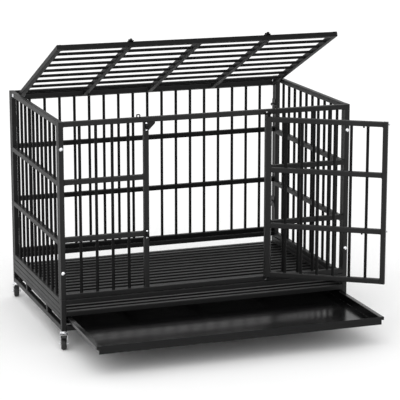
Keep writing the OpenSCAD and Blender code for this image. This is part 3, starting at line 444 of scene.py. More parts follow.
def powder_coat(name, tone, worn, rough, haze, peel_depth, gloss):
    """Baked powder paint: orange peel, cloudy gloss, rubbed edges and fine specks."""

    def recipe(place):
        cloud = place.noise(scale=7.0, detail=4.0)
        speck = place.noise(scale=420.0, detail=2.0)
        peel = place.noise(scale=620.0, detail=1.0)
        streak = place.noise(scale=38.0, detail=3.0, stretch=(1.0, 1.0, 0.12))
        rubbed = edge_of(place) * place.noise(scale=75.0, detail=3.0).ramp(0.42, 0.62)
        shade = cloud.ramp(0.3, 0.7).blend(tone, times(tone, 1.5))
        return {
            "Base Color": (rubbed * 0.45).blend(shade, worn),
            "Roughness": cloud * haze + streak * (haze * 0.7) + rubbed * 0.12 + rough,
            "Normal": (peel + speck * 0.4).bumps(peel_depth),
            "Specular IOR Level": gloss,
        }

    return surface(name, recipe)


def zinc_plate(name, tone):
    """Zinc plating: cloudy passivation and fine turning marks."""

    def recipe(place):
        cloud = place.noise(scale=120.0, detail=4.0)
        marks = place.noise(scale=900.0, detail=2.0, stretch=(0.15, 1.0, 1.0))
        dull = place.noise(scale=260.0, detail=3.0).ramp(0.55, 0.75)
        return {
            "Base Color": (dull * 0.5).blend(tone, times(tone, 0.55)),
            "Metallic": 1.0,
            "Roughness": cloud * 0.18 + marks * 0.10 + dull * 0.12 + 0.10,
            "Normal": (marks + cloud).bumps(0.00012),
        }

    return surface(name, recipe)


def moulded(name, tone, worn):
    """Moulded plastic: fine grain, paler scuffs on the edges."""

    def recipe(place):
        grain = place.noise(scale=1500.0, detail=2.0)
        cloud = place.noise(scale=60.0, detail=3.0)
        scuffed = edge_of(place) * cloud.ramp(0.4, 0.65)
        return {
            "Base Color": (scuffed * 0.6).blend(cloud.blend(tone, times(tone, 1.6)), worn),
            "Roughness": cloud * 0.14 + grain * 0.10 + 0.42,
            "Normal": grain.bumps(0.00018),
        }

    return surface(name, recipe)


def tread_rubber(name, tone, dusty):
    """Rubber with dust rubbed into it."""

    def recipe(place):
        grain = place.noise(scale=1100.0, detail=2.0)
        dust = place.noise(scale=180.0, detail=5.0).ramp(0.45, 0.8)
        return {
            "Base Color": (dust * 0.2).blend(tone, dusty),
            "Roughness": dust * 0.2 + grain * 0.1 + 0.55,
            "Normal": (grain + dust).bumps(0.0002),
        }

    return surface(name, recipe)


def studio_floor(name, tone):
    """A pale seamless floor, faintly clouded."""

    def recipe(place):
        cloud = place.noise(scale=0.8, detail=3.0)
        return {
            "Base Color": cloud.blend(tone, times(tone, 1.02)),
            "Roughness": cloud * 0.1 + 0.85,
            "Specular IOR Level": 0.1,
        }

    return surface(name, recipe)


def material(finish):
    """The material of a finish."""
    colours = bpy.context.scene.crate.colours
    tone = {name: tuple(getattr(colours, name)) for name in colours.__annotations__}
    paint, worn = tone["paint"], tone["wear"]
    # Powder coats: roughness, haze, depth of the orange peel and gloss.
    finishes = {
        "paint": (powder_coat, "powder_coat", paint, worn, 0.38, 0.12, 0.00016, 0.31),
        # Painted shade: the same powder coat with its gloss cut to less than half, so that the back
        # panel, the lid, the jamb's barrels, the guides and the keepers read darker, as parts in
        # shade do.
        "satin": (powder_coat, "satin_coat", paint, worn, 0.38, 0.12, 0.00016, 0.14),
        # The bars' enamel: their own tone, and a low gloss that is partly the enamel's own and
        # partly painted shade that darkens the bars.
        "bar": (powder_coat, "bar_enamel", tone["bar"], worn, 0.40, 0.12, 0.00010, 0.12),
        "tray": (powder_coat, "tray_paint", tone["tray"], worn, 0.125, 0.06, 0.000012, 0.20),
        "plastic": (moulded, "moulded_plastic", tone["plastic"], worn),
        "zinc": (zinc_plate, "zinc_plating", tone["zinc"]),
        "dark_zinc": (zinc_plate, "dark_zinc_plating", tone["dark_zinc"]),
        "rubber": (tread_rubber, "tread_rubber", tone["rubber"], tone["dust"]),
        "ground": (studio_floor, "studio_floor", tone["ground"]),
    }
    make, *values = finishes[finish]
    return make(*values)


# Where a flat outline's (first, second, height) goes: to Y, Z and X, or to X, Z and Y.
DRAWN_ALONG_X = Matrix(((0, 0, 1, 0), (1, 0, 0, 0), (0, 1, 0, 0), (0, 0, 0, 1)))
DRAWN_ALONG_Y = Matrix(((1, 0, 0, 0), (0, 0, 1, 0), (0, 1, 0, 0), (0, 0, 0, 1)))

# Turns of a repeated shape, as Euler angles.
UP = (0.0, 0.0, 0.0)
DOWN = (math.pi, 0.0, 0.0)


def along_y(s):
    """Turn that points a shape's +Z along +Y or -Y."""
    return (-s * math.pi / 2, 0.0, 0.0)


def along_x(s):
    """Turn that points a shape's +Z along +X or -X."""
    return (0.0, s * math.pi / 2, 0.0)


def mm(*pairs):
    """Pairs of metres from pairs of millimetres."""
    return [(a / 1000, b / 1000) for a, b in pairs]


# Turned profiles, as (radius, height) pairs.
PIN = mm(
    (0, -34.5), (2.2, -34.5), (3, -33.5), (3, 0), (4.2, 0),
    (4.5, 0.4), (4.5, 1.8), (3.6, 2.7), (1.8, 3), (0, 3),
)
SCREW = mm(
    (0, 0), (2.6, 0), (2.75, 0.3), (2.4, 1.1), (1.6, 1.5), (0.9, 1.6), (0.7, 0.8), (0, 0.8),
)
STEM = mm(
    (0, -15.5), (6, -15.5), (7.5, -14.5), (7.5, -13), (5, -13), (5, -2),
    (11.7, -2), (12, -1.7), (12, -0.3), (11.7, 0), (0, 0),
)
CUP = mm(
    (5.08, -3), (14.8, -3), (14.8, 0), (15, 0.4), (15, 3),
    (14.2, 4.2), (14.2, 6), (13, 7), (5.08, 7), (5.08, -3),
)
RIVET = mm((0, 0), (5, 0), (5, 1.8), (4.2, 2.6), (2.2, 3), (0, 3))

NO_RADIUS = 1e-7


def circle(radius, sides):
    """Points of a circle, or its middle alone where it has no radius."""
    if radius < NO_RADIUS:
        return [(0.0, 0.0)]
    turns = [2 * math.pi * k / sides for k in range(sides)]
    return [(radius * math.cos(a), radius * math.sin(a)) for a in turns]


def bridge(bm, rings):
    """Faces from each ring of points to the next; a ring of one point is a tip."""
    for lower, upper in zip(rings, rings[1:]):
        sides = max(len(lower), len(upper))
        for k in range(sides):
            n = (k + 1) % sides
            ends = [(lower, k), (lower, n), (upper, n), (upper, k)]
            bm.faces.new(list(dict.fromkeys(ring[i % len(ring)] for ring, i in ends)))


def block(bm, low, high):
    """A box from its lowest to its highest corner."""
    xs, ys, zs = zip(low, high)
    verts = [bm.verts.new((x, y, z)) for x in xs for y in ys for z in zs]
    rings = ((0, 1, 3, 2), (4, 6, 7, 5), (0, 4, 5, 1), (2, 3, 7, 6), (0, 2, 6, 4), (1, 5, 7, 3))
    for ring in rings:
        bm.faces.new([verts[i] for i in ring])


def square_block(bm, x, y, half, low, high):
    """An upright square block round a place."""
    block(bm, (x - half, y - half, low), (x + half, y + half, high))


def turned(bm, profile, at=(0, 0, 0), axis=(0, 0, 1), sides=32):
    """A solid of revolution: (radius, height) pairs from end to end, or round to the first."""
    place = Matrix.Translation(at) @ Vector(axis).to_track_quat("Z", "Y").to_matrix().to_4x4()
    closed = profile[0] == profile[-1]
    rings = [
        [bm.verts.new(place @ Vector((x, y, height))) for x, y in circle(radius, sides)]
        for radius, height in (profile[:-1] if closed else profile)
    ]
    bridge(bm, rings + rings[:1] if closed else rings)


def hollow(bm, outer, inner, low, high, at):
    """A bushing with chamfered rims, open through its middle."""
    c = CHAMFER
    rim = (inner + c, low)
    outside = [(outer - c, low), (outer, low + c), (outer, high - c), (outer - c, high)]
    inside = [(inner + c, high), (inner, high - c), (inner, low + c)]
    turned(bm, [rim, *outside, *inside, rim], at)


def rounded(path, radius, steps):
    """A path with its inner corners rounded."""
    points = [Vector(p) for p in path]
    out = [points[0]]
    for before, corner, after in zip(points, points[1:], points[2:]):
        a = (before - corner).normalized()
        b = (after - corner).normalized()
        half = a.angle(b) / 2
        middle = corner + (a + b).normalized() * (radius / math.sin(half))
        start = corner + a * (radius / math.tan(half)) - middle
        end = corner + b * (radius / math.tan(half)) - middle
        for k in range(steps + 1):
            out.append(middle + start.slerp(end, k / steps).normalized() * radius)
    out.append(points[-1])
    return out


def folded(bm, path, radius, sheet, low, high, place, steps=4):
    """A strip folded along a flat path and drawn out from low to high across it."""
    line = [Vector((p[0], p[1])) for p in rounded([(*p, 0.0) for p in path], radius, steps)]
    left, right = [], []
    for k, p in enumerate(line):
        before = (p - line[k - 1]).normalized() if k else None
        after = (line[k + 1] - p).normalized() if k + 1 < len(line) else None
        along = (before or after) + (after or before)
        side = Vector((-along.y, along.x)).normalized() * (sheet / 2)
        left.append(p + side)
        right.append(p - side)
    l0, l1, r0, r1 = (
        [bm.verts.new(place @ Vector((q.x, q.y, h))) for q in row]
        for row in (left, right)
        for h in (low, high)
    )
    for k in range(len(line) - 1):
        bm.faces.new((l0[k], l0[k + 1], l1[k + 1], l1[k]))
        bm.faces.new((r0[k], r1[k], r1[k + 1], r0[k + 1]))
        bm.faces.new((l0[k], r0[k], r0[k + 1], l0[k + 1]))
        bm.faces.new((l1[k], l1[k + 1], r1[k + 1], r1[k]))
    for k in (0, -1):
        bm.faces.new((l0[k], l1[k], r1[k], r0[k]))


def arch(middle, half, foot, top):
    """A path up, over and down again round a middle line."""
    low, high = middle - half, middle + half
    return [(low, foot), (low, top), (high, top), (high, foot)]


def prism(bm, outline, low, high, place):
    """A flat outline drawn out from low to high across it."""
    rows = [[bm.verts.new(place @ Vector((x, y, h))) for x, y in outline] for h in (low, high)]
    bm.faces.new(rows[0])
    bm.faces.new(rows[1])
    bridge(bm, rows)


def rod(bm, path, radius, bend, sides):
    """A round rod along a path, its corners bent and its ends domed."""
    line = rounded(path, bend, 8)
    first = (line[0] - line[1]).normalized()
    last = (line[-1] - line[-2]).normalized()
    shares = (0.30, 0.62, 0.85, 0.96)
    dome = [(share, radius * (1 - math.sqrt(1 - share * share))) for share in shares]
    rings = [(line[0] - first * drop, share, -first) for share, drop in dome]
    for before, here, after in zip(line, line[1:], line[2:]):
        along = (after - here).normalized() + (here - before).normalized()
        rings.append((here, 1.0, along.normalized()))
    rings += [(line[-1] - last * drop, share, last) for share, drop in reversed(dome)]
    side = rings[0][2].orthogonal().normalized()
    loops = []
    for middle, share, along in rings:
        side = (side - along * side.dot(along)).normalized()
        other = along.cross(side)
        points = circle(radius * share, sides)
        loops.append([bm.verts.new(middle + side * x + other * y) for x, y in points])
    bridge(bm, loops)
    bm.faces.new(loops[0])
    bm.faces.new(loops[-1])


def mesh_of(bm, name):
    """Makes a mesh of a bmesh, with its normals outwards."""
    bmesh.ops.recalc_face_normals(bm, faces=bm.faces[:])
    made = bpy.data.meshes.new(name)
    bm.to_mesh(made)
    bm.free()
    return made


def mark_edges(mesh):
    """Stores where the rounded edges lie: points without a face that outweighs the others."""
    outweighs = 0.62
    number = len(mesh.vertices)
    area = np.empty(len(mesh.polygons))
    mesh.polygons.foreach_get("area", area)
    corner = np.empty(len(mesh.loops), dtype=np.int64)
    mesh.loops.foreach_get("vertex_index", corner)
    totals = np.empty(len(mesh.polygons), dtype=np.int64)
    mesh.polygons.foreach_get("loop_total", totals)
    each = np.repeat(area, totals)
    most, whole = np.zeros(number), np.zeros(number)
    np.maximum.at(most, corner, each)
    np.add.at(whole, corner, each)
    edge = (most < outweighs * np.maximum(whole, 1e-12)).astype(np.float32)
    mesh.attributes.new("edge", "FLOAT", "POINT").data.foreach_set("value", edge)


def show(data, name):
    """A new object in the scene."""
    obj = bpy.data.objects.new(name, data)
    bpy.context.scene.collection.objects.link(obj)
    return obj


def settle(obj, pose=None):
    """Turns an object with modifiers into a plain mesh object at the origin."""
    bpy.context.view_layer.update()
    graph = bpy.context.evaluated_depsgraph_get()
    mesh = bpy.data.meshes.new_from_object(obj.evaluated_get(graph), depsgraph=graph)
    old = obj.data
    obj.modifiers.clear()
    obj.data = mesh
    bpy.data.meshes.remove(old)
    if pose is not None:
        mesh.transform(pose)


def soften(obj, width):
    """Rounds the sharp edges of an object and takes out the faces that collapse."""
    soft = obj.modifiers.new("Rounding", "BEVEL")
    soft.width = width
    soft.segments = 2
    soft.limit_method = "ANGLE"
    soft.angle_limit = math.radians(38)
    soft.use_clamp_overlap = True
    settle(obj)
    bm = bmesh.new()
    bm.from_mesh(obj.data)
    bmesh.ops.dissolve_degenerate(bm, dist=2e-6, edges=bm.edges[:])
    bm.to_mesh(obj.data)
    bm.free()


def flatten(obj, pose=None):
    """Makes the large faces of a smooth object look flat."""
    weigh = obj.modifiers.new("Flat faces", "WEIGHTED_NORMAL")
    weigh.keep_sharp = True
    settle(obj, pose)


def declare(obj, body, nodes):
    """Gives a finished piece its body and hides the CAD nodes that it stands for."""
    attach(obj, body)
    if nodes:
        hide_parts(*nodes)
    return obj


def piece(name, bm, finish, body, nodes, bevel=0.0, pose=None):
    """A piece from mesh code, with its sharp edges rounded if a bevel is given."""
    obj = show(mesh_of(bm, name), name)
    obj.data.shade_smooth()
    if bevel:
        soften(obj, bevel)
    flatten(obj, pose)
    if bevel:
        mark_edges(obj.data)
    obj.data.materials.clear()
    obj.data.materials.append(material(finish))
    return declare(obj, body, nodes)


class Grower:
    """A Geometry Nodes tree with named inputs, built from calls."""

    def __init__(self, name, inputs):
        self.tree = bpy.data.node_groups.new(name, "GeometryNodeTree")
        self.tree.is_modifier = True
        face = self.tree.interface
        sockets = {"Geometry": "Geometry", **inputs, "Material": "Material"}
        for label, kind in sockets.items():
            face.new_socket(label, in_out="INPUT", socket_type=f"NodeSocket{kind}")
        face.new_socket("Geometry", in_out="OUTPUT", socket_type="NodeSocketGeometry")
        self.given = self.tree.nodes.new("NodeGroupInput")

    def input(self, label):
        """One of the tree's inputs."""
        return Wire(self.tree, self.given.outputs[label])

    def node(self, kind, settings, values, out=0):
        return add_node(self.tree, kind, settings, values, out)

    def curve(self):
        """The given edges as curves."""
        return self.node("GeometryNodeMeshToCurve", {}, {"Mesh": self.input("Geometry")})

    def close(self, geometry):
        """Ends the tree: real geometry with its material."""
        real = self.node("GeometryNodeRealizeInstances", {}, {0: geometry})
        values = {"Geometry": real, "Material": self.input("Material")}
        done = self.node("GeometryNodeSetMaterial", {}, values)
        self.node("NodeGroupOutput", {}, {0: done})
        return self.tree


def tube_tree(name):
    """Rounded rectangular tube along every edge of a mesh; marks its rounded corners."""
    g = Grower(name, {"Width": "Float", "Height": "Float", "Rounding": "Float"})
    sharp = g.node(
        "GeometryNodeCurvePrimitiveQuadrilateral",
        {"mode": "RECTANGLE"},
        {"Width": g.input("Width"), "Height": g.input("Height")},
    )
    outline = g.node(
        "GeometryNodeFilletCurve",
        {"mode": "POLY"},
        {"Curve": sharp, "Count": 3, "Radius": g.input("Rounding"), "Limit Radius": True},
    )
    # Each corner has four points, and the two inner ones lie on the rounding.
    index = g.node("GeometryNodeInputIndex", {}, {})
    turn = g.node("ShaderNodeMath", {"operation": "MODULO"}, {0: index, 1: 4.0})
    inner = g.node("ShaderNodeMath", {"operation": "COMPARE"}, {0: turn, 1: 1.5, 2: 0.6})
    marked = g.node(
        "GeometryNodeStoreNamedAttribute",
        {"data_type": "FLOAT", "domain": "POINT"},
        {"Geometry": outline, "Name": "edge", "Value": inner},
    )
    level = g.node("GeometryNodeSetCurveNormal", {"mode": "Z_UP"}, {0: g.curve()})
    values = {"Curve": level, "Profile Curve": marked, "Fill Caps": True}
    return g.close(g.node("GeometryNodeCurveToMesh", {}, values))


def bar_tree(name):
    """Round bar along every edge of a mesh."""
    g = Grower(name, {"Radius": "Float", "Sides": "Int"})
    ring = g.node(
        "GeometryNodeCurvePrimitiveCircle",
        {"mode": "RADIUS"},
        {"Resolution": g.input("Sides"), "Radius": g.input("Radius")},
    )
    values = {"Curve": g.curve(), "Profile Curve": ring, "Fill Caps": True}
    return g.close(g.node("GeometryNodeCurveToMesh", {}, values))


def bead_tree(name):
    """Row of overlapping weld scales along every edge of a mesh."""
    g = Grower(name, {"Radius": "Float", "Step": "Float"})
    values = {"Curve": g.curve(), "Length": g.input("Step")}
    row = g.node("GeometryNodeResampleCurve", {"mode": "LENGTH"}, values)
    values = {"Segments": 8, "Rings": 5, "Radius": g.input("Radius")}
    scale = g.node("GeometryNodeMeshUVSphere", {}, values)
    along = g.node("GeometryNodeInputTangent", {}, {})
    turn = g.node("FunctionNodeAlignRotationToVector", {"axis": "Z"}, {"Vector": along})
    values = {"Min": 0.86, "Max": 1.08, "Seed": 4}
    size = g.node("FunctionNodeRandomValue", {"data_type": "FLOAT"}, values, 1)
    values = {"Points": row, "Instance": scale, "Rotation": turn, "Scale": size}
    return g.close(g.node("GeometryNodeInstanceOnPoints", {}, values))


def scatter_tree(name):
    """One object at every point of a mesh, turned as the points' turn attribute says."""
    g = Grower(name, {"Shape": "Object"})
    shape = g.node("GeometryNodeObjectInfo", {}, {"Object": g.input("Shape")}, "Geometry")
    vector = {"data_type": "FLOAT_VECTOR"}
    turn = g.node("GeometryNodeInputNamedAttribute", vector, {"Name": "turn"})
    spun = g.node("FunctionNodeEulerToRotation", {}, {0: turn})
    places = g.node("GeometryNodeMeshToPoints", {}, {"Mesh": g.input("Geometry")})
    values = {"Points": places, "Instance": shape, "Rotation": spun}
    return g.close(g.node("GeometryNodeInstanceOnPoints", {}, values))


def grown(name, build, seed, inputs, finish, body, nodes, pose, smooth):
    """A piece that a Geometry Nodes tree makes from a seed mesh, smooth up to an angle."""
    obj = show(seed, name)
    tree = bpy.data.node_groups.get(build.__name__) or build(build.__name__)
    grow = obj.modifiers.new("Grow", "NODES")
    grow.node_group = tree
    values = {**inputs, "Material": material(finish)}
    for item in tree.interface.items_tree:
        if item.in_out == "INPUT" and item.name in values:
            grow[item.identifier] = values[item.name]
    settle(obj, pose)
    obj.data.shade_smooth()
    obj.data.set_sharp_from_angle(angle=math.radians(smooth))
    flatten(obj)
    declare(obj, body, nodes)


def lines(pairs, name):
    """A seed mesh of separate edges."""
    seed = bpy.data.meshes.new(name)
    edges = [(2 * k, 2 * k + 1) for k in range(len(pairs))]
    seed.from_pydata([p for pair in pairs for p in pair], edges, [])
    return seed


def tubes(name, pairs, body, nodes, pose=None, size=None, rounding=None, finish="paint"):
    """Square or rectangular tubes along lines."""
    f = bpy.context.scene.crate.frame
    width, height = size or (f.tube, f.tube)
    inputs = {"Width": width, "Height": height, "Rounding": rounding or f.tube_round}
    grown(name, tube_tree, lines(pairs, name), inputs, finish, body, nodes, pose, smooth=40.0)


def bars(name, pairs, body, nodes, pose=None):
    """Round bars along lines."""
    inputs = {"Radius": bpy.context.scene.crate.frame.bar / 2, "Sides": 20}
    grown(name, bar_tree, lines(pairs, name), inputs, "bar", body, nodes, pose, smooth=40.0)


def beads(name, pairs, body, pose=None):
    """Weld beads along the inner corners of the tube joints."""
    bead, spacing = bpy.context.scene.crate.frame.bead, 1.15
    inputs = {"Radius": bead, "Step": bead * spacing}
    grown(name, bead_tree, lines(pairs, name), inputs, "paint", body, [], pose, smooth=80.0)


def scattered(name, bm, places, finish, body, nodes, pose=None):
    """The same shape at many places, each with a turn."""
    shape = show(mesh_of(bm, f"{name}_shape"), f"{name}_shape")
    seed = bpy.data.meshes.new(name)
    seed.from_pydata([p for p, _ in places], [], [])
    turn = seed.attributes.new("turn", "FLOAT_VECTOR", "POINT")
    turn.data.foreach_set("vector", [a for _, t in places for a in t])
    grown(name, scatter_tree, seed, {"Shape": shape}, finish, body, nodes, pose, smooth=34.0)
    bpy.data.objects.remove(shape)


def bar_rings(name, places, body, pose=None):
    """Fillets of weld and paint round the bars where they enter a rail."""
    r = bpy.context.scene.crate.frame.bar / 2
    rise = mm((-0.6, -0.2), (1.6, -0.2), (0.6, 0.6), (-0.1, 1.9), (-0.6, -0.2))
    bm = bmesh.new()
    turned(bm, [(r + out, height) for out, height in rise], sides=12)
    scattered(name, bm, places, "paint", body, [], pose)


def standing(x, y, low, high):
    """An upright line."""
    return (x, y, low), (x, y, high)


def lengthwise(low, high, y, z):
    """A line along X."""
    return (low, y, z), (high, y, z)


def crosswise(x, low, high, z):
    """A line along Y."""
    return (x, low, z), (x, high, z)


def across(at, axis, half):
    """A weld's line across a tube: its middle, the axis that it runs along and half of the tube."""
    share = 0.8
    low, high = list(at), list(at)
    low[axis] -= half * share
    high[axis] += half * share
    return tuple(low), tuple(high)


def rail_sides(levels, half):
    """Heights of the lower and upper face of every rail."""
    return [z + t * half for z in levels for t in SIGNS]


def rail_faces(levels, half):
    """(height, turn) of every rail face that a bar goes through."""
    return list(zip(rail_sides(levels, half)[1:-1], cycle((UP, DOWN))))


class CRATE_OT_panels(bpy.types.Operator):
    """Four panels of welded tube with round bars, their caps and connectors"""

    bl_idname = "crate.panels"
    bl_label = "Panels"

    def execute(self, context):
        f = context.scene.crate.frame
        h, post, panel = f.half, f.post, f.panel
        z = f.levels(f.panel_foot)
        low, high = f.panel_foot + f.tube - f.bar_seat, f.top - f.tube + f.bar_seat
        jamb, out = f.doorway / 2 + h, f.doorway / 2 + f.tube

        pairs = []
        for s in SIGNS:
            pairs.append(standing(s * post, -panel, f.panel_foot, f.top))
            pairs.append(standing(s * jamb, -panel, f.panel_foot + f.tube, f.top - f.tube))
            pairs += [lengthwise(s * out, s * f.inner_x, -panel, k) for k in z[1:3]]
        pairs += [lengthwise(-f.inner_x, f.inner_x, -panel, k) for k in (z[0], z[3])]
        tubes("front_panel_tubes", pairs, "crate", ["front_uprights", "front_rails"])

        pairs = [standing(s * post, panel, f.panel_foot, f.top) for s in SIGNS]
        pairs += [lengthwise(-f.inner_x, f.inner_x, panel, k) for k in z]
        nodes = ["back_uprights", "back_rails"]
        tubes("back_panel_tubes", pairs, "crate", nodes, finish="satin")

        pitch = (f.inner_x - out) / (f.front_bars + f.front_gap)
        steps = range(1, f.front_bars + 1)
        front_x = [s * (f.inner_x - k * pitch) for k in steps for s in SIGNS]
        pitch = 2 * f.inner_x / (f.back_bars + 1)
        last = (f.back_bars - 1) // 2
        back_x = [k * pitch for k in range(-last, last + 1)]
        rings = []
        for name, y, xs in (("front", -panel, front_x), ("back", panel, back_x)):
            pairs = [standing(x, y, low, high) for x in xs]
            bars(f"{name}_panel_bars", pairs, "crate", [f"{name}_bars"])
            rings += [((x, y, k), t) for x in xs for k, t in rail_faces(z, h)]

        side_z = f.levels(f.side_foot)
        pitch = 2 * f.reach / (f.side_bars + 1)
        bar_y = [-f.reach + k * pitch for k in range(1, f.side_bars + 1)]
        low = f.side_foot + f.tube - f.bar_seat
        welds = []
        for name, s in SIDES.items():
            x = s * post
            pairs = [standing(x, t * f.side, f.side_foot, f.top) for t in SIGNS]
            pairs += [crosswise(x, -f.reach, f.reach, k) for k in side_z]
            tubes(f"{name}_panel_tubes", pairs, "crate", [f"{name}_uprights", f"{name}_rails"])
            pairs = [standing(x, y, low, high) for y in bar_y]
            bars(f"{name}_panel_bars", pairs, "crate", [f"{name}_bars"])
            rings += [((x, y, k), t) for y in bar_y for k, t in rail_faces(side_z, h)]
            ends = [(x, t * f.reach, k) for t in SIGNS for k in rail_sides(side_z, h)[1:-1]]
            welds += [across(at, 0, s * h) for at in ends]
        bar_rings("panel_bar_rings", rings, "crate")

        for x, y in ((f.inner_x, panel), (f.inner_x, -panel), (out, -panel)):
            ends = [(s * x, y, k) for s in SIGNS for k in rail_sides(z, h)[1:-1]]
            welds += [across(at, 1, h) for at in ends]
        ends = [(s * f.doorway / 2, -panel, k) for s in SIGNS for k in (z[0] + h, z[3] - h)]
        welds += [across(at, 1, h) for at in ends]
        beads("panel_welds", welds, "crate")

        depth, rise = 0.003, 0.0009
        bm = bmesh.new()
        for s in SIGNS:
            for y in (-panel, -f.side, f.side, panel):
                square_block(bm, s * post, y, h - f.tube_wall, f.top - depth, f.top + rise)
        piece("upright_end_caps", bm, "plastic", "crate", ["upright_caps"], bevel=0.0008)

        inset = 0.001
        bm = bmesh.new()
        for s in SIGNS:
            for t in SIGNS:
                for y, top in ((t * panel, f.panel_foot), (t * f.side, f.side_foot)):
                    square_block(bm, s * post, y, h - inset, top - f.seam, top)
        piece("connector_collars", bm, "plastic", "crate", ["corner_connectors"], bevel=0.0004)
        return {"FINISHED"}


class CRATE_OT_base(bpy.types.Operator):
    """Tube base under the panels, with the slatted floor and the tray's runners"""

    bl_idname = "crate.base"
    bl_label = "Base and floor"

    def execute(self, context):
        crate = context.scene.crate
        f, d, t = crate.frame, crate.floor, crate.tray
        h, post, panel = f.half, f.post, f.panel
        foot, post_top = f.base_foot, f.panel_foot - f.seam
        long_z = (foot + h, -h, post_top - h)
        side_z = (foot + h, -d.height - h, f.side_foot - f.seam - h)
        strut_z = (side_z[0] + h, side_z[1] - h)
        pairs, welds = [], []
        for sx in SIGNS:
            x = sx * post
            for sy in SIGNS:
                y = sy * f.strut_y
                pairs.append(standing(x, sy * panel, foot, post_top))
                pairs.append(standing(x, y, *strut_z))
                ends = [(x, y + u * h, k) for k in strut_z for u in SIGNS]
                welds += [across(at, 0, sx * h) for at in ends]
            pairs += [crosswise(x, -f.inner_y, f.inner_y, k) for k in side_z]
        for y in (-panel, panel):
            pairs += [lengthwise(-f.inner_x, f.inner_x, y, k) for k in long_z]
            ends = [(s * f.inner_x, y, k) for s in SIGNS for k in rail_sides(long_z, h)[1:-1]]
            welds += [across(at, 1, h) for at in ends]
        for s in SIGNS:
            ends = [(s * post, u * f.inner_y, k) for u in SIGNS for k in rail_sides(side_z, h)[1:]]
            welds += [across(at, 0, s * h) for at in ends]
        nodes = ["base_posts", "base_long_rails", "base_side_rails", "base_struts"]
        tubes("base_tubes", pairs, "crate", nodes)
        beads("base_welds", welds, "crate")

        rounding, play = 0.0018, 0.0005
        rows = even(-d.reach, d.reach, d.slats)
        pairs = [lengthwise(-f.inner_x, f.inner_x, y, -d.height / 2) for y in rows]
        size = (d.width, d.height)
        tubes("floor_slat_tubes", pairs, "crate", ["floor_slats"], None, size, rounding)
        end = f.inner_y - play
        middle = (d.end_top - d.height) / 2
        pairs = [crosswise(s * post, -end, end, middle) for s in SIGNS]
        tubes("floor_end_tubes", pairs, "crate", [], None, (f.tube, d.end_top + d.height))
        bm = bmesh.new()
        half, under = d.bar_width / 2, -d.height
        for x in (-d.bar_x, 0.0, d.bar_x):
            low = (x - half, -f.inner_y, under - d.bar_height)
            block(bm, low, (x + half, f.inner_y, under))
        piece("floor_cross_bars", bm, "paint", "crate", ["floor_frame"], bevel=0.0008)

        bm = bmesh.new()
        half = RUNNER.sheet / 2
        z = t.runner_top - half
        for s in SIGNS:
            x = s * (f.inner_x - half)
            path = [(s * (f.inner_x - t.runner), z), (x, z), (x, t.web_top)]
            folded(bm, path, RUNNER.bend, RUNNER.sheet, end, -end, DRAWN_ALONG_Y)
        piece("tray_angle_runners", bm, "paint", "crate", ["tray_runners"], bevel=0.0004)
        return {"FINISHED"}


def domed_head(bm, radius, height, socket, depth):
    """A domed bolt head with a flat rim and a six-sided socket."""
    sides, steps, fit, near = 24, 6, 0.94, 1e-6
    rim_inset, rim_rise, lip = 0.0003, 0.0004, 0.0001
    sphere = (radius * radius + height * height) / (2 * height)
    profile = [(0.0, 0.0), (radius - rim_inset, 0.0), (radius, rim_rise)]
    for k in range(1, steps + 1):
        r = radius + (socket / 2 - radius) * k / steps
        profile.append((r, height - sphere + math.sqrt(sphere * sphere - r * r)))
    turned(bm, profile, sides=sides)
    rim = [v for v in bm.verts if abs(v.co.xy.length - socket / 2) < near]
    rim.sort(key=lambda v: math.atan2(v.co.y, v.co.x))
    six = []
    for v in rim:
        a = math.atan2(v.co.y, v.co.x)
        six.append((socket / 2 * fit * hexagon(a), a))
    top = rim[0].co.z
    rings = [
        [bm.verts.new((r * math.cos(a), r * math.sin(a), z)) for r, a in six]
        for z in (top - lip, top - depth)
    ]
    bridge(bm, [rim, *rings])
    bm.faces.new(rings[-1])


def hexagon(a):
    """Radius of a hexagon in a direction, as a share of the radius to its corners."""
    return math.cos(math.pi / 6) / math.cos((a % (math.pi / 3)) - math.pi / 6)


def hex_body(bm, width, height, bore=0.0):
    """A six-sided nut or head: chamfered corners, and a hole if it has a bore."""
    sides, cut, over_flats = 24, 0.0006, 1.02
    most = width / 2 * math.cos(math.pi / 6) * over_flats
    turns = [2 * math.pi * k / sides for k in range(sides)]
    rows = []
    for z in (0.0, cut, height - cut, height):
        radii = [width / 2 * hexagon(a) for a in turns]
        if z in (0.0, height):
            radii = [min(r, most) for r in radii]
        points = zip(radii, turns)
        rows.append([bm.verts.new((r * math.cos(a), r * math.sin(a), z)) for r, a in points])
    if bore:
        inside = ((height, cut), (height - cut, 0.0), (cut, 0.0), (0.0, cut))
        for z, wider in inside:
            rows.append([bm.verts.new((*p, z)) for p in circle(bore / 2 + wider, sides)])
        rows.append(rows[0])
    bridge(bm, rows)
    if not bore:
        bm.faces.new(rows[0])
        bm.faces.new(rows[-1])


def threaded(bm, radius, low, high):
    """The shank of a bolt: ridges of thread and a chamfered tip at the low end."""
    pitch = 0.00125
    tip, start, root, crest = (radius * share for share in (0.78, 0.97, 0.86, 0.99))
    profile = [(0.0, low), (tip, low), (start, low + pitch)]
    z = low + pitch
    while z + pitch < high:
        profile += [(root, z + pitch * 0.5), (crest, z + pitch)]
        z += pitch
    turned(bm, [*profile, (crest, high), (0.0, high)], sides=20)


